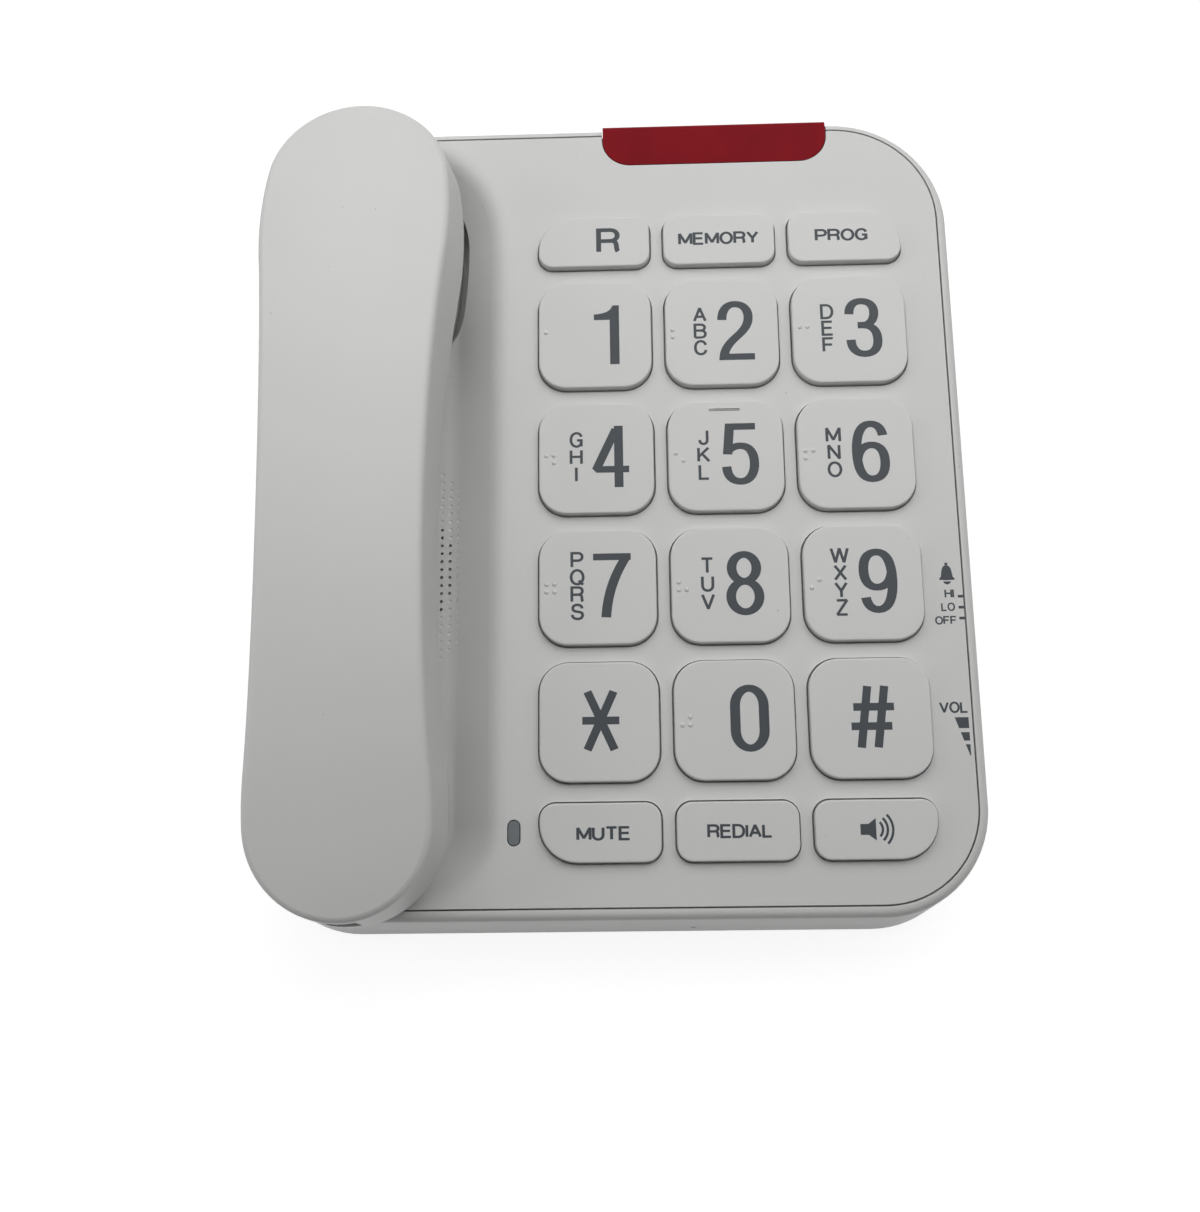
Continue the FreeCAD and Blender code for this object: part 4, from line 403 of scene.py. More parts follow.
WHITE = tint(0.68, 0.68, 0.67)
KEY_WHITE = tint(0.69, 0.69, 0.68)
case_white = moulded_plastic("case_white", WHITE, 0.46, 0.42, 0.035)
handset_white = moulded_plastic("handset_white", WHITE, 0.44, 0.42, 0.03)
key_white = moulded_plastic("key_white", KEY_WHITE, 0.4, 0.35, 0.02)
print_grey = ink()
steel = metal("zinc_plated_steel", tint(0.55, 0.55, 0.54), 0.32)
gold = metal("gold_plated_contacts", tint(0.8, 0.58, 0.24), 0.22)
black_rubber = rubber("black_rubber", grey(0.03))

NODE_FINISHES = {
    case_white: ("lower_case", "upper_cover"),
    handset_white: ("handset_outer_shell", "handset_inner_shell"),
    key_white: ("hook_plunger", "hanging_tab", "ringer_knob", "volume_knob"),
    red_lens(): ("ring_lens",),
    smoked_lens(): ("status_lens", "status_led", "ring_light_leds"),
    rubber("key_mat_rubber", grey(0.5)): ("keypad_mat",),
    black_rubber: (
        "rubber_feet",
        "earpiece_gasket",
        "microphone_boot",
        "base_microphone_boot",
    ),
    circuit_board(): ("main_board", "ring_light_board"),
    dark_plastic("component_plastic", 0.03): (
        "board_parts",
        "hook_switch",
        "ringer_switch",
        "volume_switch",
        "earpiece_receiver",
    ),
    dark_plastic("socket_plastic", 0.04): ("line_socket", "cord_socket", "handset_socket"),
    steel: (
        "speaker_basket",
        "speaker_screws",
        "case_screws",
        "board_screws",
        "handset_screws",
        "handset_weight",
        "hook_spring",
    ),
    metal("sintered_magnet", grey(0.13), 0.55): ("speaker_magnet",),
    metal("capsule_aluminium", grey(0.62), 0.3): ("base_microphone", "microphone"),
    paper_cone(): ("speaker_cone",),
}


def finish_with(mesh, material):
    mesh.materials.clear()
    mesh.materials.append(material)


def finish_cad_nodes():
    for material, names in NODE_FINISHES.items():
        for name in names:
            finish_with(NODES[name].data, material)


# Pieces


def mesh_of(name, bm):
    """A smooth-shaded mesh of a bmesh, which is then let go."""
    mesh = bpy.data.meshes.new(name)
    bm.to_mesh(mesh)
    bm.free()
    mesh.shade_smooth()
    return mesh


def put(name, data):
    """Makes an object of a mesh, lamp or camera, and links it to the scene."""
    thing = bpy.data.objects.new(name, data)
    bpy.context.scene.collection.objects.link(thing)
    return thing


def add_piece(name, body, bm, material, place=FACE, sharp=SHARP_EDGE):
    """Makes an object from a bmesh drawn in millimetres, puts it in place and ties it to a body."""
    bm.transform(place)
    bmesh.ops.recalc_face_normals(bm, faces=bm.faces)
    mesh = mesh_of(name, bm)
    mesh.set_sharp_from_angle(angle=math.radians(sharp))
    mesh.materials.append(material)
    thing = put(name, mesh)
    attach(thing, body)
    return thing


def loop_at(bm, points, height):
    return [bm.verts.new((x, y, height)) for x, y in points]


def bridge(bm, first, second):
    count = len(first)
    for i in range(count):
        after = (i + 1) % count
        bm.faces.new((first[i], first[after], second[after], second[i]))


def skin(bm, loops, closed=(0, -1)):
    """Faces from each loop to the next, and a flat one over each loop that closed names."""
    for first, second in zip(loops, loops[1:]):
        bridge(bm, first, second)
    for end in closed:
        bm.faces.new(loops[end])


def arc_points(x, y, radius, start, end, steps):
    turns = [math.radians(start + (end - start) * i / steps) for i in range(steps + 1)]
    return [Vector((x + radius * math.cos(a), y + radius * math.sin(a))) for a in turns]


def ring_outline(x, y, radius, sides):
    return arc_points(x, y, radius, 0, 360 - 360 / sides, sides - 1)


def turned(bm, x, y, profile, sides, closed=(0, -1)):
    """A round solid about an upright axis, through pairs of radius and level."""
    rings = [loop_at(bm, ring_outline(x, y, radius, sides), level) for radius, level in profile]
    skin(bm, rings, closed)
    return rings


def rounded_outline(half_width, half_height, radii, inset, steps=CORNER_STEPS):
    """Corner by corner from the low left one, anticlockwise."""
    points = []
    corners = ((-1, -1, 180), (1, -1, 270), (1, 1, 0), (-1, 1, 90))
    for (sx, sy, start), radius in zip(corners, radii):
        r = max(radius - inset, SHARPEST_CORNER)
        cx = sx * (half_width - inset - r)
        cy = sy * (half_height - inset - r)
        points += arc_points(cx, cy, r, start, start + 90, steps)
    return points


# Keys


def key_profile():
    """Inset and height from the hollow's ceiling, round the flange and up to the top."""
    flange_top = KEY_FOOT + FLANGE_THICK
    profile = [(KEY_SHELL, KEY_PROUD - KEY_SHELL), (KEY_SHELL, KEY_FOOT), (-FLANGE_LIP, KEY_FOOT)]
    profile += [(-FLANGE_LIP, flange_top), (0.0, flange_top), (FACE_DRAFT, 0.0)]
    for step in range(EDGE_STEPS + 1):
        a = math.radians(90 * step / EDGE_STEPS)
        inset = KEY_DRAFT + KEY_EDGE * (1 - math.cos(a))
        profile.append((inset, KEY_PROUD - KEY_EDGE * (1 - math.sin(a))))
    profile.append((KEY_DRAFT + KEY_EDGE + TOP_RIM, KEY_PROUD))
    return profile


def key_cap(name, height, radii):
    x, y = KEY_MIDDLES[name]
    bm = bmesh.new()
    loops = []
    for inset, level in key_profile():
        outline = rounded_outline(KEY_WIDTH / 2, height / 2, radii, inset)
        loops.append(loop_at(bm, [(x + px, y + py) for px, py in outline], level))
    skin(bm, loops)
    cap = add_piece(f"{name}_cap", name, bm, key_white, sharp=KEY_SHARP_EDGE)
    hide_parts(name)


# Each row: its height on the face, the height of its keys, and their names from the left.
ROWS = (
    (TOP_BAR, BAR_HEIGHT, ("key_r", "key_memory", "key_prog")),
    (ROW_PITCH * 1.5, KEY_WIDTH, ("key_1", "key_2", "key_3")),
    (ROW_PITCH * 0.5, KEY_WIDTH, ("key_4", "key_5", "key_6")),
    (-ROW_PITCH * 0.5, KEY_WIDTH, ("key_7", "key_8", "key_9")),
    (-ROW_PITCH * 1.5, KEY_WIDTH, ("key_star", "key_0", "key_hash")),
    (LOW_BAR, BAR_HEIGHT, ("key_mute", "key_redial", "key_speaker")),
)
KEY_MIDDLES = {
    name: ((column - 1) * KEY_PITCH, y) for y, _, names in ROWS for column, name in enumerate(names)
}
BLOCK_CORNERS = {"key_mute": 0, "key_speaker": 1, "key_prog": 2, "key_r": 3}


def keys():
    for _, height, names in ROWS:
        for name in names:
            radii = [KEY_ROUND if height == KEY_WIDTH else BAR_ROUND] * 4
            if name in BLOCK_CORNERS:
                radii[BLOCK_CORNERS[name]] = BLOCK_ROUND
            key_cap(name, height, radii)


# Raised dots and bar


# Each key's dots by their numbers: 1 to 3 run down the left column, 4 to 6 down the right one.
BRAILLE = {
    "key_1": "1",
    "key_2": "12",
    "key_3": "14",
    "key_4": "145",
    "key_5": "15",
    "key_6": "124",
    "key_7": "1245",
    "key_8": "125",
    "key_9": "24",
    "key_0": "245",
}


def raised_level(height, turn):
    """How high the side of a raised form of a height stands at a turn of its round."""
    return KEY_PROUD - RAISED_ROOT + (height + RAISED_ROOT) * math.sin(turn)


def braille_dots():
    turns = [math.radians(DOT_TURN * step / RAISED_STEPS) for step in range(RAISED_STEPS + 1)]
    radii = [max(DOT_RADIUS * math.cos(a), DOT_TIP_RADIUS) for a in turns]
    profile = [(radius, raised_level(DOT_HEIGHT, a)) for radius, a in zip(radii, turns)]
    for name, dots in BRAILLE.items():
        x, y = KEY_MIDDLES[name]
        bm = bmesh.new()
        for dot in dots:
            column, row = divmod(int(dot) - 1, 3)
            left, top = x + FIRST_DOT[0], y + FIRST_DOT[1]
            turned(bm, left + DOT_PITCH * column, top - DOT_PITCH * row, profile, DOT_SIDES)
        add_piece(f"{name}_dots", name, bm, key_white, sharp=SMALL_SHARP_EDGE)


def five_bar():
    bm = bmesh.new()
    x, y = KEY_MIDDLES["key_5"]
    half = FIVE_BAR_WIDTH / 2
    loops = []
    for step in range(RAISED_STEPS + 1):
        a = math.radians(90 * step / RAISED_STEPS)
        inset = FIVE_BAR_ROUND * (1 - math.cos(a))
        outline = rounded_outline(FIVE_BAR_LENGTH / 2, half, [half] * 4, inset, RAISED_STEPS)
        points = [(x + px, y + FIVE_BAR_AT + py) for px, py in outline]
        loops.append(loop_at(bm, points, raised_level(FIVE_BAR_HEIGHT, a)))
    skin(bm, loops, closed=(-1,))
    add_piece("key_5_bar", "key_5", bm, key_white, sharp=SMALL_SHARP_EDGE)


# Print


# A sign is drawn by its pen strokes: M starts one, L runs straight, C curves, Z closes it, and E is
# an ellipse. The figure one has a flag of its own shape, so it is drawn by its outline.
ONE_OUTLINE = (
    "M4.2 0 L6.7 0 L6.7 16.7 L4.95 16.7"
    " C4.58333 15.16667 2.93333 14.33333 0 14.2 L0 12.6 L4.2 12.6"
)
DIGITS = {
    "0": "M8.35 11.5 C8.35 13.9 6.8 15.87 4.8 15.87 C2.8 15.87 1.25 13.9 1.25 11.5 L1.25 5.3"
    " C1.25 2.9 2.8 .93 4.8 .93 C6.8 .93 8.35 2.9 8.35 5.3 L8.35 11.5 Z",
    "2": "M1.11 11.4 C1.11 14.1 2.46 15.87 4.68 15.87 C7.09 15.87 8.34 14.3 8.34 12.2"
    " C8.34 9.9 7.09 8.5 5.47 7.0 C3.38 5.2 1.53 3.4 1.44 .93 L9.8 .93",
    "3": "M1.15 12.2 C1.15 14.6 2.46 15.87 4.54 15.87 C6.86 15.87 8.02 14.6 8.02 12.75"
    " C8.02 10.6 6.86 9.04 4.77 9.04 L3.38 9.04 M4.6 9.04 C7.55 9.04 8.7 7.4 8.7 4.8"
    " C8.7 2.4 7.4 .93 5.0 .93 C2.8 .93 1.35 2.4 1.35 4.96",
    "4": "M7.3 0 L7.3 16.8 M6.6 15.9 L1.0 4.9 L10.2 4.9",
    "5": "M9.1 15.87 L2.2 15.87 L1.5 8.3 M1.85 9.4 C2.6 10.2 3.9 10.6 5.0 10.6"
    " C7.4 10.6 8.6 8.7 8.6 5.9 C8.6 2.9 7.2 .93 4.9 .93 C2.7 .93 1.3 2.2 1.15 5.0",
    "6": "M8.3 12.7 C7.9 14.8 6.9 15.87 5.1 15.87 C2.5 15.87 1.25 12.8 1.25 8.4"
    " C1.25 3.4 2.5 .93 5.0 .93 C7.4 .93 8.55 2.6 8.55 5.6 C8.55 8.4 7.4 10.1 5.2 10.1"
    " C3.3 10.1 1.8 8.8 1.45 6.5",
    "7": "M0 15.8 L9.7 15.8 M8.35 15.5 C6.1 11.9 3.7 7.2 3.2 0",
    "8": "E4.8 12.35 3.2 3.52 E4.9 4.88 3.65 3.95",
    "*": "M1.35 15 L8 .4 M7.9 15 L1.25 .4 M0 7.7 L9.25 7.7",
    "#": "M4.6 15.6 L2.4 0 M8.9 15.6 L6.65 0 M.8 10.3 L11.1 10.3 M.1 5.4 L10.4 5.4",
}
LETTERS = {
    "A": "M0 0 L4 10 L8 0 M1.5 3.3 L6.5 3.3",
    "B": "M0 0 L0 10 L4.3 10 C8 10 8 5.4 4.3 5.4 L0 5.4 M4.3 5.4 C8.6 5.4 8.6 0 4.3 0 L0 0",
    "C": "M7.5 7 C6.9 9.1 5.7 10 4 10 C1.4 10 0 7.8 0 5 C0 2.2 1.4 0 4 0 C5.8 0 7.2 1 7.6 3.2",
    "D": "M0 0 L0 10 L3.6 10 C9 10 9 0 3.6 0 L0 0 Z",
    "E": "M7 0 L0 0 L0 10 L6.8 10 M0 5.2 L6.4 5.2",
    "F": "M0 0 L0 10 L6.8 10 M0 5.2 L6 5.2",
    "G": "M7.4 7.3 C6.9 9.2 5.7 10 4.1 10 C1.5 10 0 7.8 0 5 C0 2.2 1.5 0 4.1 0"
    " C5.9 0 7.4 1.2 7.4 4.6 L4.3 4.6 M7.4 4.6 L7.4 0",
    "H": "M0 0 L0 10 M7.4 0 L7.4 10 M0 5.2 L7.4 5.2",
    "I": "M0 0 L0 10",
    "J": "M5.4 10 L5.4 2.8 C5.4 -.9 0 -.9 0 3",
    "K": "M0 0 L0 10 M7 10 L0 3.4 M2.4 5.7 L7.4 0",
    "L": "M0 10 L0 0 L6.2 0",
    "M": "M0 0 L0 10 L4.5 1.2 L9 10 L9 0",
    "N": "M0 0 L0 10 L7.3 0 L7.3 10",
    "O": "E4.2 5 4.2 5",
    "P": "M0 0 L0 10 L4.4 10 C8.2 10 8.2 4.6 4.4 4.6 L0 4.6",
    "Q": "E4.2 5 4.2 5 M5.2 2.6 L8.4 -.4",
    "R": "M0 0 L0 10 L4.6 10 C8.3 10 8.3 4.9 4.6 4.9 L0 4.9 M4.6 4.9 C6.6 4.9 6.9 4 7 2.4"
    " C7.1 1 7.2 .4 7.6 0",
    "S": "M6.9 7.4 C6.7 9.2 5.4 10 3.6 10 C1.7 10 .4 9.1 .4 7.4 C.4 3.8 7.2 6.4 7.2 2.8"
    " C7.2 .9 5.8 0 3.7 0 C1.6 0 .2 1 0 3",
    "T": "M3.8 0 L3.8 10 M0 10 L7.6 10",
    "U": "M0 10 L0 3.6 C0 -1.2 7.2 -1.2 7.2 3.6 L7.2 10",
    "V": "M0 10 L3.9 0 L7.8 10",
    "W": "M0 10 L2.8 0 L5.7 10 L8.6 0 L11.4 10",
    "X": "M0 10 L7.4 0 M0 0 L7.4 10",
    "Y": "M0 10 L3.8 4.4 L7.6 10 M3.8 4.4 L3.8 0",
    "Z": "M0 10 L7 10 L0 0 L7 0",
}
KEY_LETTERS = {
    "key_2": "ABC",
    "key_3": "DEF",
    "key_4": "GHI",
    "key_5": "JKL",
    "key_6": "MNO",
    "key_7": "PQRS",
    "key_8": "TUV",
    "key_9": "WXYZ",
}
# Each worded key: its word, where that stands from the key's middle, its size and its pen.
KEY_WORDS = {
    "key_r": ("R", (3.8, 0.3), (6.4, 7.2), R_PEN),
    "key_memory": ("MEMORY", (-0.1, 0.2), (21.6, 3.7), WORD_PEN),
    "key_prog": ("PROG", (-0.8, 0.3), (14.1, 3.6), WORD_PEN),
    "key_mute": ("MUTE", (0.6, -0.2), (13.0, 3.45), WORD_PEN),
    "key_redial": ("REDIAL", (0.2, 0.0), (15.6, 3.4), WORD_PEN),
}
# The words beside the slides: their middles on the face and their sizes.
FACE_WORDS = (
    ("HI", (55.3, -20.05), (2.4, 2.0)),
    ("LO", (54.8, -23.5), (3.5, 2.2)),
    ("OFF", (53.95, -26.95), (5.3, 2.2)),
    ("VOL", (54.3, -49.0), (6.9, 2.9)),
)
# The loudspeaker key's sign, drawn from its own left end: the outline of the horn, and the waves
# round a point in it, each by its radius and the degrees that it reaches up and down.
SPEAKER_LEFT = -4.1
HORN = ((0, -1.3), (1.95, -1.3), (3.8, -2.7), (3.8, 2.7), (1.95, 1.3), (0, 1.3))
WAVE_MIDDLE = 2.9
WAVES = ((2.5, 43), (3.7, 46), (5.0, 44))
# A hand bell and its clapper, seen from the side: the right half of each, from the top down.
BELL_MIDDLE = (54.98, -14.9)
HALF_BELL = (
    *((0.0, 2.95), (0.35, 2.8), (0.42, 2.5), (0.25, 2.2), (0.75, 1.95), (1.15, 1.3)),
    *((1.35, 0.2), (1.5, -0.8), (2.0, -1.35), (1.9, -1.6), (0.0, -1.7)),
)
HALF_CLAPPER = ((0.0, -2.0), (1.0, -2.0), (0.75, -2.5), (0.0, -2.85))
# The marks beside the words, and the wedge of three steps, whose left side shifts to the right
# on its way down.
MARK_SIDES = (57.4, 58.75)
MARK_LEVELS = (-20.8, -23.65, -26.45)
MARK_HALF = 0.35
WEDGE_SIDES = (54.5, 57.9)
WEDGE_STEPS = ((-54.2, -51.5), (-57.3, -55.2), (-61.0, -58.2))
WEDGE_TOP = WEDGE_STEPS[0][1]
WEDGE_FOOT = WEDGE_STEPS[-1][0]
WEDGE_SHIFT = 3.2
WEDGE_LEAN = WEDGE_SHIFT / (WEDGE_TOP - WEDGE_FOOT)


def pen_runs(path):
    """The strokes of a sign as runs of points, and whether each closes on itself."""
    runs = []
    for order, figures in re.findall(r"([MLCEZ])([^MLCEZ]*)", path):
        numbers = [float(n) for n in figures.split()]
        pairs = [Vector(numbers[i : i + 2]) for i in range(0, len(numbers), 2)]
        if order == "M":
            runs.append([pairs, False])
        elif order == "L":
            runs[-1][0].extend(pairs)
        elif order == "C":
            start = runs[-1][0][-1]
            for step in range(1, CURVE_STEPS + 1):
                t = step / CURVE_STEPS
                s = 1 - t
                bend = 3 * s * s * t * pairs[0] + 3 * s * t * t * pairs[1]
                runs[-1][0].append(s**3 * start + bend + t**3 * pairs[2])
        elif order == "E":
            centre, radii = pairs
            turns = [math.tau * i / (CURVE_STEPS * 4) for i in range(CURVE_STEPS * 4)]
            ellipse = [centre + Vector((radii.x * math.cos(a), radii.y * math.sin(a))) for a in turns]
            runs.append([ellipse, True])
        else:
            runs[-1][0].pop()
            runs[-1][1] = True
    return runs


def word_runs(word):
    """The strokes of a word in one drawing, its letters a gap apart."""
    runs, reach = [], 0.0
    for letter in word:
        strokes = pen_runs(LETTERS[letter])
        runs += [([p + Vector((reach, 0)) for p in points], closed) for points, closed in strokes]
        reach += stroke_width(strokes) + LETTER_GAP
    return runs


def stroke_width(runs):
    return max(p.x for points, _ in runs for p in points)


def ribbon(points, closed, pen):
    """Convex outlines that together cover a stroke; its corners are mitred, the sharpest ones bevelled."""
    squeeze, half = pen[1] / pen[0], pen[1] / 2
    spots = [Vector((p.x * squeeze, p.y)) for p in points]
    if closed:
        spots.append(spots[0])
    normals = []
    for a, b in zip(spots, spots[1:]):
        along = (b - a).normalized()
        normals.append(Vector((-along.y, along.x)))

    def hull(corners):
        return [Vector((corners[i].x / squeeze, corners[i].y)) for i in convex_hull_2d(corners)]

    outlines = []
    reach = []
    for i, spot in enumerate(spots):
        ends = [normals[j] for j in (i - 1, i) if 0 <= j < len(normals)]
        if closed and i in (0, len(normals)):
            ends = [normals[-1], normals[0]]
        middle = (ends[0] + ends[-1]).normalized()
        spread = 1 / max(middle.dot(ends[0]), SMALLEST_COSINE)
        if spread > SHARPEST_MITRE:
            reach.append((ends[0] * half, ends[-1] * half))
            outlines.append(hull([spot + side * n * half for n in ends for side in (1, -1)]))
        else:
            reach.append((middle * spread * half,) * 2)
    for i in range(len(normals)):
        start, end = reach[i][1], reach[i + 1][0]
        near, far = spots[i], spots[i + 1]
        outlines.append(hull([near + start, near - start, far - end, far + end]))
    return outlines


def pen_outlines(runs, pen):
    return [outline for points, closed in runs for outline in ribbon(points, closed, pen)]


def fitted_sign(runs, pen, middle, size):
    """The outlines of a sign, stretched to a width and a height about its middle."""
    outlines = pen_outlines(runs, pen)
    xs = [p.x for outline in outlines for p in outline]
    ys = [p.y for outline in outlines for p in outline]
    low, extent = Vector((min(xs), min(ys))), Vector((max(xs) - min(xs), max(ys) - min(ys)))
    stretch = Vector((size[0] / extent.x, size[1] / extent.y))
    corner = Vector(middle) - Vector(size) / 2
    return [[corner + (p - low) * stretch for p in outline] for outline in outlines]


def covers(outline, spot):
    """Whether a spot lies inside an outline."""
    crossings = 0
    for a, b in zip(outline, outline[1:] + outline[:1]):
        if (a.y > spot.y) != (b.y > spot.y):
            crossings += spot.x < a.x + (b.x - a.x) * (spot.y - a.y) / (b.y - a.y)
    return crossings % 2 == 1


def flat_area(outlines):
    """The area that overlapping outlines cover, as points and the three points' numbers per triangle."""
    points, edges = [], []
    for outline in outlines:
        first, count = len(points), len(outline)
        points += outline
        edges += [(first + i, first + (i + 1) % count) for i in range(count)]
    spots, _, cells, *_ = delaunay_2d_cdt(points, edges, [], 0, PRINT_WELD)
    middles = [(spots[a] + spots[b] + spots[c]) / 3 for a, b, c in cells]
    inside = [cell for cell, middle in zip(cells, middles) if any(covers(o, middle) for o in outlines)]
    return spots, inside


def print_on(name, body, outlines, level):
    """Gives the flat signs a thickness and lays them on a surface at a level."""
    bm = bmesh.new()
    spots, cells = flat_area(outlines)
    verts = [bm.verts.new((spot.x, spot.y, 0)) for spot in spots]
    for cell in cells:
        bm.faces.new([verts[i] for i in cell])
    bmesh.ops.delete(bm, geom=[v for v in verts if not v.link_faces], context="VERTS")
    grown = bmesh.ops.extrude_face_region(bm, geom=list(bm.faces))
    lowered = [v for v in grown["geom"] if isinstance(v, bmesh.types.BMVert)]
    bmesh.ops.translate(bm, verts=lowered, vec=(0, 0, -INK_DEPTH))
    bmesh.ops.translate(bm, verts=bm.verts, vec=(0, 0, level + INK_PROUD))
    add_piece(name, body, bm, print_grey)


def shifted(outline, by):
    return [Vector(by) + Vector(p) for p in outline]


def digit(name):
    middle = Vector(KEY_MIDDLES[name])
    label = {"key_star": "*", "key_hash": "#"}.get(name, name[-1])
    if label == "1":
        outline, _ = pen_runs(ONE_OUTLINE)[0]
        return [shifted(outline, middle + Vector(ONE_OFFSET))]
    if label in SYMBOL_SIZES:
        middle += Vector(SYMBOL_OFFSET)
        return fitted_sign(pen_runs(DIGITS[label]), SYMBOL_PEN, middle, SYMBOL_SIZES[label])
    middle += Vector(DIGIT_OFFSET)
    if label != "9":
        return fitted_sign(pen_runs(DIGITS[label]), DIGIT_PEN, middle, DIGIT_SIZE)
    # a nine is a six turned half round
    six = fitted_sign(pen_runs(DIGITS["6"]), DIGIT_PEN, middle, DIGIT_SIZE)
    return [[2 * middle - p for p in outline] for outline in six]


def letter_column(name):
    """The letters of a key, one under the other, left of its digit."""
    letters = KEY_LETTERS.get(name, "")
    middle = Vector(KEY_MIDDLES[name]) + Vector(LETTER_OFFSET)
    middle.x += LETTER_SHIFTS.get(name, 0.0)
    outlines = []
    for i, letter in enumerate(letters):
        runs = pen_runs(LETTERS[letter])
        corner = middle - Vector((stroke_width(runs), LETTER_HEIGHT)) / 2 * LETTER_SCALE
        corner.y += LETTER_PITCHES[len(letters)] * ((len(letters) - 1) / 2 - i)
        for outline in pen_outlines(runs, LETTER_PEN):
            outlines.append([corner + p * LETTER_SCALE for p in outline])
    return outlines


def key_prints():
    for name in ("key_1", *KEY_LETTERS, "key_star", "key_0", "key_hash"):
        print_on(f"{name}_print", name, digit(name) + letter_column(name), KEY_PROUD)
    for name, (word, offset, size, pen) in KEY_WORDS.items():
        middle = Vector(KEY_MIDDLES[name]) + Vector(offset)
        print_on(f"{name}_print", name, fitted_sign(word_runs(word), pen, middle, size), KEY_PROUD)


def speaker_sign():
    x, y = KEY_MIDDLES["key_speaker"]
    left = x + SPEAKER_LEFT
    outlines = [shifted(HORN, (left, y))]
    for radius, reach in WAVES:
        wave = arc_points(left + WAVE_MIDDLE, y, radius, -reach, reach, WAVE_STEPS)
        outlines += ribbon(wave, False, WAVE_PEN)
    print_on("key_speaker_print", "key_speaker", outlines, KEY_PROUD)


def mirrored(half):
    """A whole outline from its right half, whose ends lie on the middle line."""
    return [*half, *((-x, y) for x, y in half[-2:0:-1])]


def bar_outline(sides, levels):
    (left, right), (low, high) = sides, levels
    return [Vector(corner) for corner in ((left, low), (right, low), (right, high), (left, high))]


def face_signs():
    outlines = [shifted(mirrored(half), BELL_MIDDLE) for half in (HALF_BELL, HALF_CLAPPER)]
    for word, middle, size in FACE_WORDS:
        outlines += fitted_sign(word_runs(word), WORD_PEN, middle, size)
    for level in MARK_LEVELS:
        outlines.append(bar_outline(MARK_SIDES, (level - MARK_HALF, level + MARK_HALF)))
    for levels in WEDGE_STEPS:
        step = bar_outline(WEDGE_SIDES, levels)
        for corner in (step[0], step[3]):
            corner.x += WEDGE_LEAN * (WEDGE_TOP - corner.y)
        outlines.append(step)
    print_on("face_print", "base", outlines, 0.0)


# Sound holes


def grille_places():
    """The grid of sound holes: those that go through, and the dimples round them."""
    through, dimples = [], []
    for column in range(-GRILLE_COLUMNS, GRILLE_COLUMNS + 1):
        for row in range(-GRILLE_ROWS, GRILLE_ROWS + 1):
            spot = Vector(GRILLE_MIDDLE) + GRILLE_PITCH * Vector((column, row))
            if math.hypot(column, row) <= THROUGH_REACH:
                through.append(spot)
            elif math.hypot(column, row - DIMPLE_SHIFT) <= DIMPLE_REACH:
                dimples.append(spot)
    return through, dimples


def hole_profile(level):
    return [(HOLE_RADIUS, level + HOLE_LEAD), (HOLE_RADIUS, level - HOLE_DEPTH)]


def dimple_profile(level):
    """A shallow bowl whose first ring lies above the floor."""
    rings = [(DIMPLE_RADIUS * t, DIMPLE_DEPTH * (1 - t * t)) for t in DIMPLE_RINGS]
    return [(radius, level + DIMPLE_LIFT - depth) for radius, depth in rings]


def grille_cutter(surface):
    """Plugs for the sound holes, set on the channel's floor where it has no hole of its own."""
    cutter = bmesh.new()
    for spots, profile in zip(grille_places(), (hole_profile, dimple_profile)):
        for spot in spots:
            above = Vector((spot.x, spot.y, ABOVE_THE_FACE))
            hit = surface.ray_cast(above, Vector((0, 0, -1)))[0]
            if hit and hit.z > -CRADLE_DEPTH - FLOOR_SLACK:
                turned(cutter, spot.x, spot.y, profile(hit.z), HOLE_SIDES)
    bmesh.ops.recalc_face_normals(cutter, faces=cutter.faces)
    cutter.transform(FACE)
    return put("grille_cutter", mesh_of("grille_cutter", cutter))


def copy_normals(source, target):
    """Gives a cut copy of a mesh the normals of the surface that it was cut from."""
    corners = [tuple(triangle.vertices) for triangle in source.loop_triangles]
    places = [v.co for v in source.vertices]
    tree = BVHTree.FromPolygons(places, corners)
    known = [[source.corner_normals[i].vector.copy() for i in t.loops] for t in source.loop_triangles]
    normals = []
    for face in target.polygons:
        _, facing, index, away = tree.find_nearest(face.center)
        same = away < SAME_SURFACE and facing.dot(face.normal) > SAME_FACING
        for vertex in face.vertices:
            normal = face.normal
            if same:
                spot = target.vertices[vertex].co
                a, b, c = (places[i] for i in corners[index])
                normal = barycentric_transform(spot, a, b, c, *known[index]).normalized()
            normals.append(normal)
    target.normals_split_custom_set(normals)


def welded(mesh):
    """An imported mesh whose faces share their points again."""
    bm = bmesh.new()
    bm.from_mesh(mesh)
    bmesh.ops.remove_doubles(bm, verts=bm.verts, dist=WELD_DISTANCE)
    return bm


def face_plate():
    """A copy of the upper cover with the full grid of sound holes cut; it keeps the cover's normals."""
    cover = NODES["upper_cover"].data
    solid = bmesh.new()
    solid.from_mesh(cover)
    solid.transform(FACE.inverted())
    cutter = grille_cutter(BVHTree.FromBMesh(solid))
    solid.free()
    plate = put("face_plate", mesh_of("face_plate", welded(cover)))
    cut = plate.modifiers.new("holes", "BOOLEAN")
    cut.operation = "DIFFERENCE"
    cut.solver = "EXACT"
    cut.object = cutter
    evaluated = plate.evaluated_get(bpy.context.evaluated_depsgraph_get())
    finished = bpy.data.meshes.new_from_object(evaluated)
    plate.modifiers.clear()
    plate.data = finished
    copy_normals(cover, finished)
    finish_with(finished, case_white)
    bpy.data.objects.remove(cutter)
    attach(plate, "base")
    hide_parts("upper_cover")


# Screws, feet and contacts


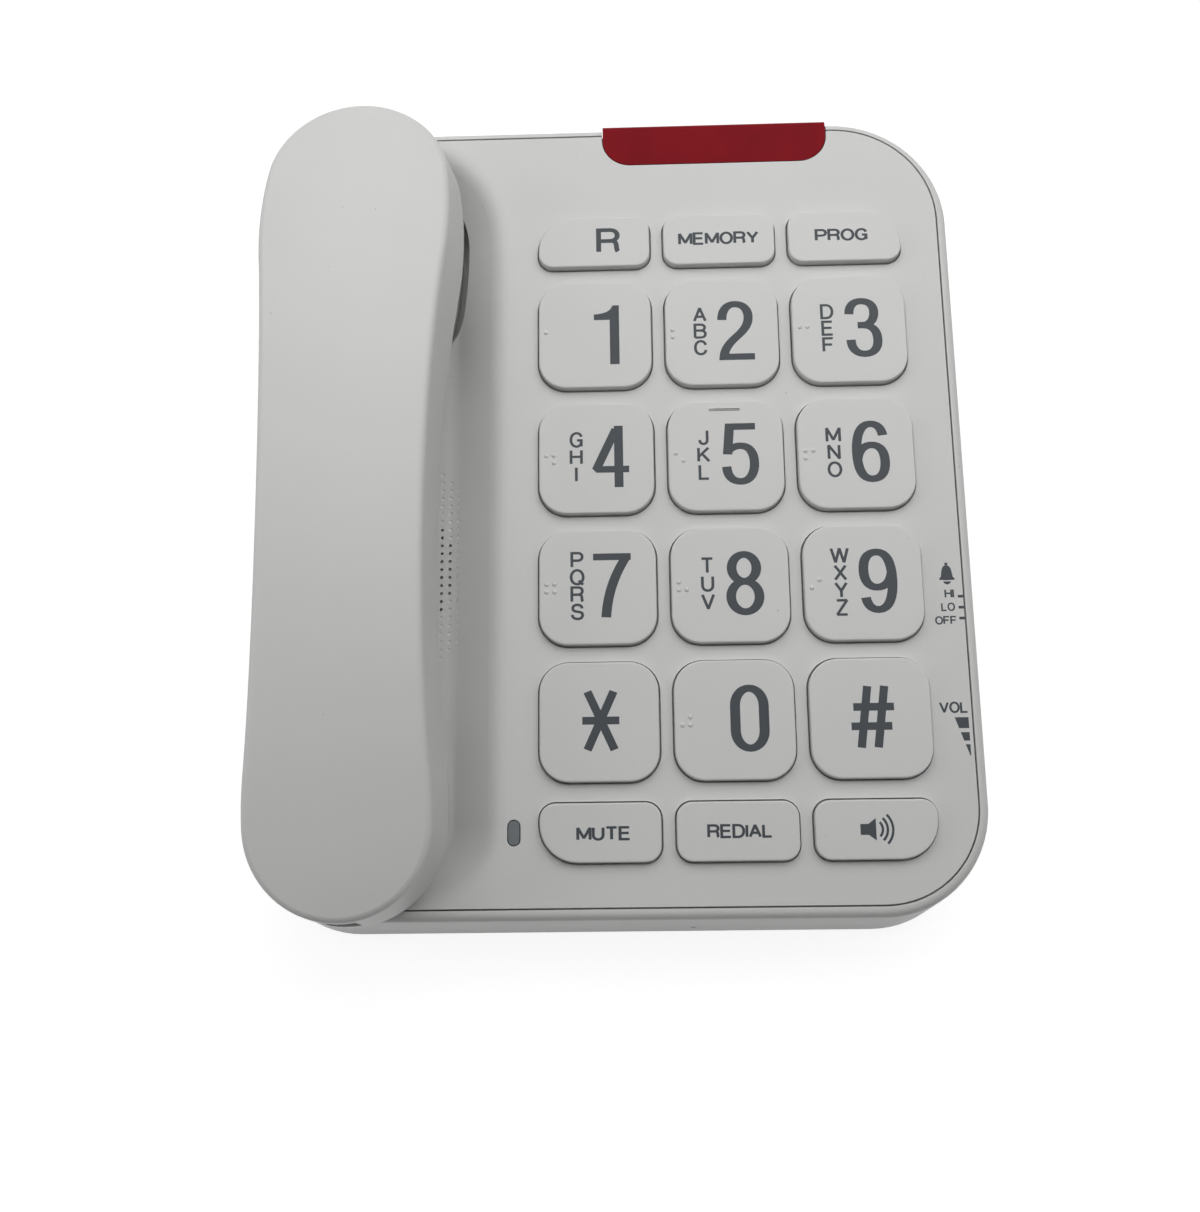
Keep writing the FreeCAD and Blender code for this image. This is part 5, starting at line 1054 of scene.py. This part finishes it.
def solids_of(node, place):
    """The lowest and highest corners of each separate solid of a node, in millimetres in a frame."""
    whole = welded(NODES[node].data)
    whole.transform(place.inverted())
    left, boxes = set(whole.verts), []
    while left:
        reached = [left.pop()]
        for vert in reached:
            fresh = {edge.other_vert(vert) for edge in vert.link_edges} & left
            left -= fresh
            reached.extend(fresh)
        boxes.append([Vector(pick(v.co[i] for v in reached) for i in range(3)) for pick in (min, max)])
    whole.free()
    return sorted(boxes, key=lambda corners: tuple(corners[0]))


def cross_outline(x, y, arm, half):
    corner = [(arm, -half), (arm, half), (half, half)]
    points = []
    for quarter in range(4):
        turn = Matrix.Rotation(math.radians(90 * quarter), 2)
        points += [turn @ Vector(c) + Vector((x, y)) for c in corner]
    return points


def screw_profile(foot, tip):
    """Radius and level from the rim of the head's flat, over the crown and up the thread to the tip."""
    profile = [(HEAD_FLAT, foot)]
    for step in range(1, HEAD_STEPS + 1):
        a = math.radians(90 * step / HEAD_STEPS)
        radius = HEAD_FLAT + (HEAD_RADIUS - HEAD_FLAT) * math.sin(a)
        profile.append((radius, foot + HEAD_CROWN * (1 - math.cos(a))))
    head_top = foot + HEAD_HEIGHT
    profile += [(HEAD_RADIUS, head_top), (SHANK_RADIUS, head_top)]
    level = head_top + PLAIN_SHANK
    while level < tip - POINT_LENGTH:
        profile += [(THREAD_ROOT, level), (SHANK_RADIUS, level + THREAD_PITCH / 2)]
        level += THREAD_PITCH
    return profile + [(THREAD_ROOT, level), (TAPER_RADIUS, tip - TAPER_LENGTH), (TIP_RADIUS, tip)]


def pan_screw(bm, x, y, foot, tip):
    """A cross-recess pan-head screw driven upwards: its head starts at foot."""
    rings = turned(bm, x, y, screw_profile(foot, tip), SCREW_SIDES, closed=(-1,))
    crosses = [loop_at(bm, cross_outline(x, y, arm, half), foot + depth) for arm, half, depth in RECESS]
    skin(bm, crosses, closed=(1,))
    borders = []
    for loop in (rings[0], crosses[0]):
        borders += [bm.edges.get((a, b)) for a, b in zip(loop, loop[1:] + loop[:1])]
    bmesh.ops.triangle_fill(bm, use_beauty=True, edges=borders)


def screws(node, body, place):
    bm = bmesh.new()
    for low, high in solids_of(node, place):
        pan_screw(bm, (low.x + high.x) / 2, (low.y + high.y) / 2, low.z, high.z)
    made = add_piece(f"{node}_turned", body, bm, steel, place=place)
    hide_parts(node)


def feet():
    """Soft feet with a rounded tread and a shallow ring moulded into it."""
    bm = bmesh.new()
    for low, high in solids_of("rubber_feet", PLAIN):
        radius = (high.x - low.x) / 2
        tread = radius - FOOT_ROUND
        profile = [*FOOT_RING, (tread, 0.0)]
        for a in FOOT_TURNS:
            profile.append((tread + FOOT_ROUND * math.sin(a), FOOT_ROUND * (1 - math.cos(a))))
        profile.append((radius, high.z))
        turned(bm, (low.x + high.x) / 2, (low.y + high.y) / 2, profile, FOOT_SIDES)
    made = add_piece("soft_feet", "base", bm, black_rubber, place=PLAIN)
    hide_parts("rubber_feet")


# Each socket: its body, and the frame in which its mouth looks towards the front.
SOCKETS = {
    "line_socket": ("base", PLAIN @ Matrix.Rotation(math.pi, 4, "Z")),
    "cord_socket": ("base", PLAIN @ Matrix.Rotation(-math.pi / 2, 4, "Z")),
    "handset_socket": ("handset", FACE),
}


def wire(bm, points, radius):
    """A bent wire through points that all lie in one upright plane."""
    across = Vector((1, 0, 0))
    turns = [math.tau * i / CONTACT_SIDES for i in range(CONTACT_SIDES)]
    rings = []
    for i, spot in enumerate(points):
        along = (points[min(i + 1, len(points) - 1)] - points[max(i - 1, 0)]).normalized()
        up = across.cross(along)
        ring = [spot + radius * (across * math.cos(a) + up * math.sin(a)) for a in turns]
        rings.append([bm.verts.new(corner) for corner in ring])
    skin(bm, rings)


def contacts():
    """Sprung contacts slope down into each socket from the top of its mouth."""
    for node, (body, place) in SOCKETS.items():
        ((low, high),) = solids_of(node, place)
        top = (low.z + high.z) / 2 + SOCKET_BORE / 2
        bm = bmesh.new()
        for i in range(CONTACT_COUNT):
            x = (low.x + high.x) / 2 + (i - (CONTACT_COUNT - 1) / 2) * CONTACT_PITCH
            path = [Vector((x, low.y + depth, top + rise)) for depth, rise in CONTACT_PATH]
            wire(bm, path, CONTACT_WIRE)
        add_piece(f"{node}_contacts", body, bm, gold, place, SMALL_SHARP_EDGE)


# Studio


def table():
    """A pale floor that looks nearly white to the camera, and gives the light back as paper would."""
    grid = bmesh.new()
    bmesh.ops.create_grid(grid, x_segments=1, y_segments=1, size=FLOOR_HALF)
    floor = put("floor", mesh_of("floor", grid))
    f = Finish("studio_floor")
    grain = f.noise(400, 2)
    paper = f.node("ShaderNodeBsdfDiffuse", None, {"Color": f.mix(grain, grey(0.78), grey(0.82))})
    veil = f.node("ShaderNodeBsdfDiffuse", None, {"Color": grey(FLOOR_VEIL)})
    glow = f.node("ShaderNodeEmission", None, {"Color": grey(1.0), "Strength": FLOOR_GLOW})
    lit = f.node("ShaderNodeAddShader", None, {0: veil, 1: glow})
    both = f.node("ShaderNodeMixShader", None, {0: f.seen(), 1: paper, 2: lit})
    floor.data.materials.append(f.close(both))


def room():
    """A dim room round the lamps, and a white background."""
    f = Finish("studio", bpy.data.worlds)
    walls = f.node("ShaderNodeBackground", None, {"Color": grey(1.0), "Strength": ROOM_LIGHT})
    white = f.node("ShaderNodeBackground", None, {"Color": grey(1.0), "Strength": 1.0})
    both = f.node("ShaderNodeMixShader", None, {0: f.seen(), 1: walls, 2: white})
    bpy.context.scene.world = f.close(both, "ShaderNodeOutputWorld")


def lamps():
    """Soft boxes that look at the middle of the table."""
    for name, (place, size, watts) in SOFT_BOXES.items():
        lamp = bpy.data.lights.new(name, "AREA")
        lamp.shape = "RECTANGLE"
        lamp.size, lamp.size_y = size
        lamp.energy = watts
        thing = put(name, lamp)
        thing.location = place
        thing.rotation_euler = (-Vector(place)).to_track_quat("-Z", "Y").to_euler()


def camera():
    pitch, yaw, roll = (math.radians(turn) for turn in CAMERA_TURN)
    turn = Matrix.Rotation(roll, 4, "Z") @ Matrix.Rotation(yaw, 4, "Y") @ Matrix.Rotation(pitch, 4, "X")
    data = bpy.data.cameras.new("camera")
    data.sensor_width = SENSOR_WIDTH
    data.lens = FOCAL_PIXELS * SENSOR_WIDTH / max(PHOTO_PIXELS)
    data.clip_start = CLIP_START
    data.clip_end = CLIP_END
    thing = put("camera", data)
    place = Matrix.Translation(FACE @ Vector(CAMERA_PLACE))
    thing.matrix_world = place @ Matrix.Rotation(TILT, 4, "X") @ turn.inverted()
    bpy.context.scene.camera = thing


finish_cad_nodes()
keys()
key_prints()
speaker_sign()
face_signs()
braille_dots()
five_bar()
face_plate()
screws("case_screws", "base", PLAIN)
screws("handset_screws", "handset", FACE)
feet()
contacts()

table()
room()
lamps()
camera()
bpy.context.scene.view_settings.view_transform = "Standard"
